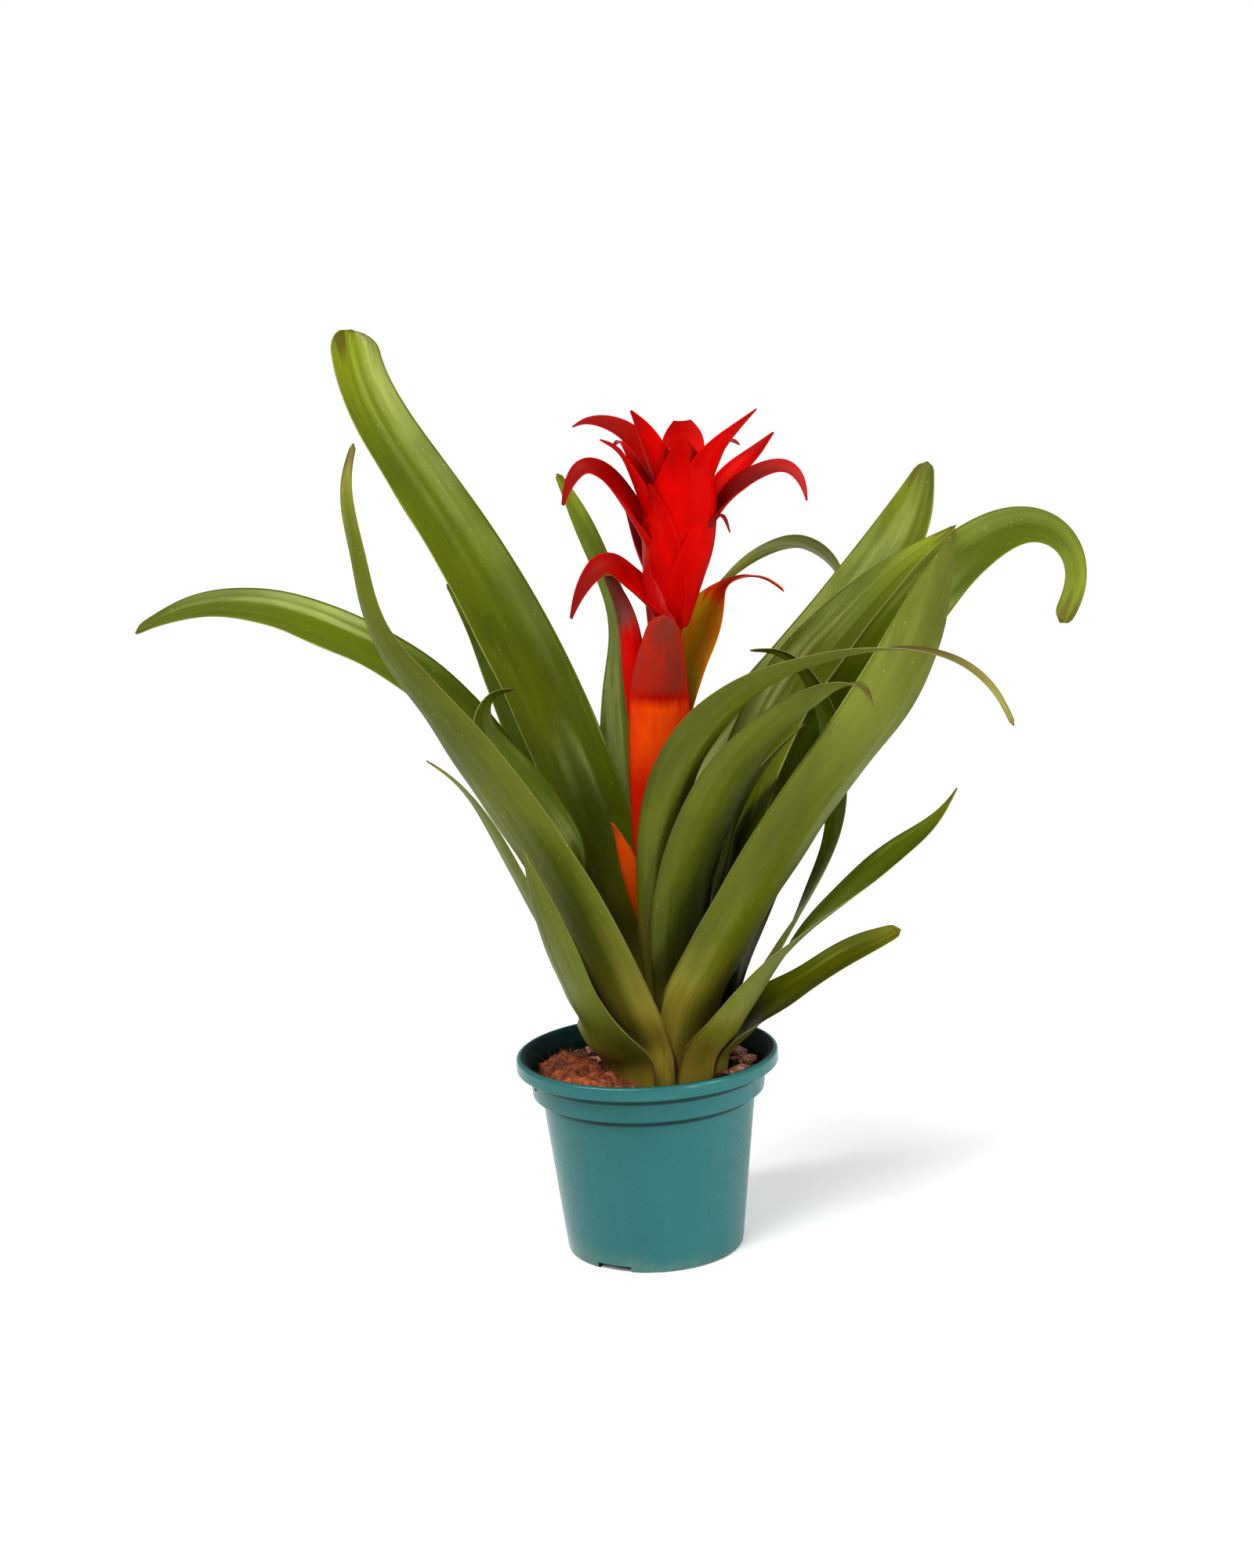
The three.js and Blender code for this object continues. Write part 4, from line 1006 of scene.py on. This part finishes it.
def add_soil(finish):
    top = [(CROWN_HOLE + (SOIL_OUT - CROWN_HOLE) * k / 22, SOIL_TOP) for k in range(23)]
    profile = [(0, 60), (9.4, 60), (9.4, 76), (CROWN_HOLE, 76)] + top + [
        (SOIL_OUT, BAND_BOTTOM + 2), (WALL_TOP_RADIUS - WALL - 0.5, BAND_BOTTOM - 1.4),
        (BASE_RADIUS - WALL - 1.1, FLOOR_THICKNESS + 0.3), (0, FLOOR_THICKNESS + 0.3)]
    bm = spun(profile, 200)
    for v in bm.verts:
        radius = math.hypot(v.co.x, v.co.y) / MM
        above = v.co.z > 59 * MM
        share = 1 - smooth_step(radius, CROWN_HOLE, SOIL_OUT - 4) if above else 0
        v.co.x += PLANT_X * share * MM
        if abs(v.co.z - SOIL_TOP * MM) < MERGE_WITHIN:
            rough = noise.fractal(v.co * 260, 0.7, 2.1, 5) * 1.1 + abs(noise.noise(v.co * 90)) * 1.2
            v.co.z = (soil_height(v.co.x / MM, v.co.y / MM) + rough) * MM
    join_plant(new_piece("soil_bed", bm, [finish]), "soil")


peat = soil_finish("peat", srgb(34, 22, 17), srgb(78, 52, 38), 500)
add_soil(peat)
print("soil laid")

# %% [markdown]
# Crumbs and bits of bark lie loose on the soil. A crumb is a small icosphere pushed out of shape,
# which has only twenty faces, so more than a thousand fit in one piece. A bit of bark is a
# flattened cube instead.

# %% Crumbs
def free_place(chance, inner=36, outer=54):
    """A place on the soil between the crown and the wall"""
    while True:
        x, y = chance.uniform(-outer, outer, 2)
        if math.hypot(x, y) < outer and math.hypot(x - PLANT_X, y) > inner:
            return x, y


def crumb_piece(name, count, sizes, flat, finish, seed, lift=0.3, smooth=True):
    chance = np.random.default_rng(seed)
    bm = bmesh.new()
    for _ in range(count):
        x, y = free_place(chance)
        size = chance.uniform(*sizes) * MM
        if smooth:
            ball = bmesh.ops.create_icosphere(bm, subdivisions=1, radius=size)["verts"]
        else:
            ball = bmesh.ops.create_cube(bm, size=2 * size)["verts"]
        for v in ball:
            v.co = v.co * chance.uniform(0.7, 1.35)
            v.co.y *= 1 if smooth else 0.55
            v.co.z *= flat
        axis = chance.normal(size=3) * ((1, 1, 1) if smooth else (0.2, 0.2, 1))
        turn = Quaternion(axis.tolist(), chance.uniform(0, 3)).to_matrix()
        bmesh.ops.rotate(bm, verts=ball, cent=(0, 0, 0), matrix=turn)
        height = soil_height(x, y) + lift + 0.6 * size / MM * flat
        bmesh.ops.translate(bm, verts=ball, vec=Vector((x, y, height)) * MM)
    join_plant(new_piece(name, bm, [finish], smooth))


crumb_piece("soil_crumbs", 1300, (0.35, 1.0), 0.8, peat, 5)
bark_bits = soil_finish("bark_bits", srgb(112, 62, 48), srgb(190, 136, 112), 260)
crumb_piece("bark_crumbs", 52, (2.0, 4.8), 0.12, bark_bits, 9, lift=0.9, smooth=False)
print("crumbs scattered")

# %% [markdown]
# The coir lump is a torn piece of root ball. Its solid is subdivided and roughened, and hundreds of
# red-brown fibres are laid over it. Each fibre is a thin bent strand. A bevelled curve makes them,
# kept as one mesh.

# %% Coir
COIR_FIBRES = 900


def strand_piece(name, paths, thickness, finish):
    curve = bpy.data.curves.new(name, "CURVE")
    curve.dimensions = "3D"
    curve.bevel_depth = thickness * MM
    curve.bevel_resolution = 0
    curve.use_fill_caps = True
    for path in paths:
        strand = curve.splines.new("POLY")
        strand.points.add(len(path) - 1)
        for k, (point, place) in enumerate(zip(strand.points, path)):
            point.co = (*place, 1)
            point.radius = 1 - 0.7 * (k / (len(path) - 1)) ** 2
    holder = bpy.data.objects.new(name + "_curve", curve)
    scene.collection.objects.link(holder)
    mesh = bpy.data.meshes.new_from_object(holder.evaluated_get(bpy.context.evaluated_depsgraph_get()))
    bpy.data.objects.remove(holder)
    mesh.materials.clear()
    mesh.materials.append(finish)
    piece = bpy.data.objects.new(name, mesh)
    scene.collection.objects.link(piece)
    join_plant(piece)


def fine_copy(node, cuts):
    bm = bmesh.new()
    bm.from_mesh(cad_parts[node].data)
    bmesh.ops.remove_doubles(bm, verts=bm.verts, dist=MERGE_WITHIN)
    bmesh.ops.subdivide_edges(bm, edges=bm.edges, cuts=cuts, use_grid_fill=True, smooth=0.3)
    bmesh.ops.triangulate(bm, faces=bm.faces)
    return bm


def add_coir(mass, fibre):
    bm = fine_copy("coir_lump", 3)
    bm.normal_update()
    for v in bm.verts:
        grit = noise.fractal(v.co * 240, 0.8, 2.2, 4) * 1.2
        lumps = noise.noise(v.co * 95) * 2.4 + abs(noise.noise(v.co * 170)) * 2.4
        v.co += v.normal * (grit + lumps) * MM
    tops = [(v.co.copy(), v.normal.copy()) for v in bm.verts if v.normal.z > 0.1]
    join_plant(new_piece("coir_body", bm, [mass]), "coir_lump")
    chance = np.random.default_rng(31)
    paths = []
    for _ in range(COIR_FIBRES):
        place, normal = tops[chance.integers(len(tops))]
        heading = Vector(chance.normal(size=3)).normalized()
        heading = (heading - 0.8 * heading.dot(normal) * normal).normalized()
        bend = Vector(chance.normal(size=3)) * 0.25
        path = [place - normal * 0.3 * MM]
        for _ in range(6):
            path.append(path[-1] + heading * chance.uniform(0.6, 1.5) * MM)
            heading = (heading + bend - 0.16 * normal).normalized()
        paths.append(path)
    strand_piece("coir_fibres", paths, 0.13, fibre)


coir_mass = soil_finish("coir_mass", srgb(66, 26, 12), srgb(176, 98, 52), 200)
coir_strand = soil_finish("coir_strand", srgb(100, 46, 22), srgb(176, 102, 56), 300)
add_coir(coir_mass, coir_strand)
print("coir laid")

# %% [markdown]
# A bark chip is split wood: long fine grain on its faces and a ragged edge. Each solid gets more
# faces, and noise that is stretched along the chip lifts them.

# %% Bark chips
def bark_finish():
    finish, tree, surface = new_finish("bark_grain", Roughness=0.75)
    place = object_place(tree)
    grain = cloud(tree, stretched(tree, place, (900, 180, 900)), detail=5, roughness=0.65)
    patches = cloud(tree, place, 120)
    colour = mixed(tree, fitted(tree, grain, 0.35, 0.68), srgb(124, 72, 58), srgb(206, 158, 134))
    colour = mixed(tree, fitted(tree, patches, 0.5, 0.7, 0, 0.6), colour, srgb(84, 46, 36))
    painted(tree, surface, colour)
    dented(tree, surface, grain, 0.0006, 0.9)
    return finish


def add_chip(node, finish):
    bm = fine_copy(node, 9)
    bm.normal_update()
    for v in bm.verts:
        grain = noise.fractal(Vector((v.co.x * 700, v.co.y * 160, v.co.z * 500)), 0.8, 2.1, 4)
        v.co += v.normal * (0.35 * grain + 0.15 * noise.noise(v.co * 300)) * MM
    join_plant(new_piece(node + "_split", bm, [finish]), node)


bark = bark_finish()
for node in ("bark_chip_front", "bark_chip_right", "bark_chip_back"):
    add_chip(node, bark)
print("chips laid")

# %% [markdown]
# A few pale straws lie on the soil, and the rootstock inside keeps its solid with a woody finish.

# %% Straws and rootstock
STRAWS = 26


def add_straws():
    chance = np.random.default_rng(77)
    paths = []
    for _ in range(STRAWS):
        x, y = free_place(chance, 37, 51)
        heading = Vector((*chance.normal(size=2), 0)).normalized()
        path = []
        for k in range(6):
            px, py = x + heading.x * k * 1.6, y + heading.y * k * 1.6
            if math.hypot(px, py) > 53 or math.hypot(px - PLANT_X, py) < 36:
                break
            path.append(Vector((px, py, soil_height(px, py) + 2 + 0.4 * math.sin(k))) * MM)
        if len(path) > 2:
            paths.append(path)
    straw = soil_finish("straw", srgb(176, 156, 120), srgb(226, 212, 184), 300)
    strand_piece("soil_straws", paths, 0.3, straw)


add_straws()
wood = stem_finish("root_wood", srgb(120, 96, 64), srgb(84, 64, 42))
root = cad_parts["rootstock"]
root.data.materials.clear()
root.data.materials.append(wood)
print("straws laid")
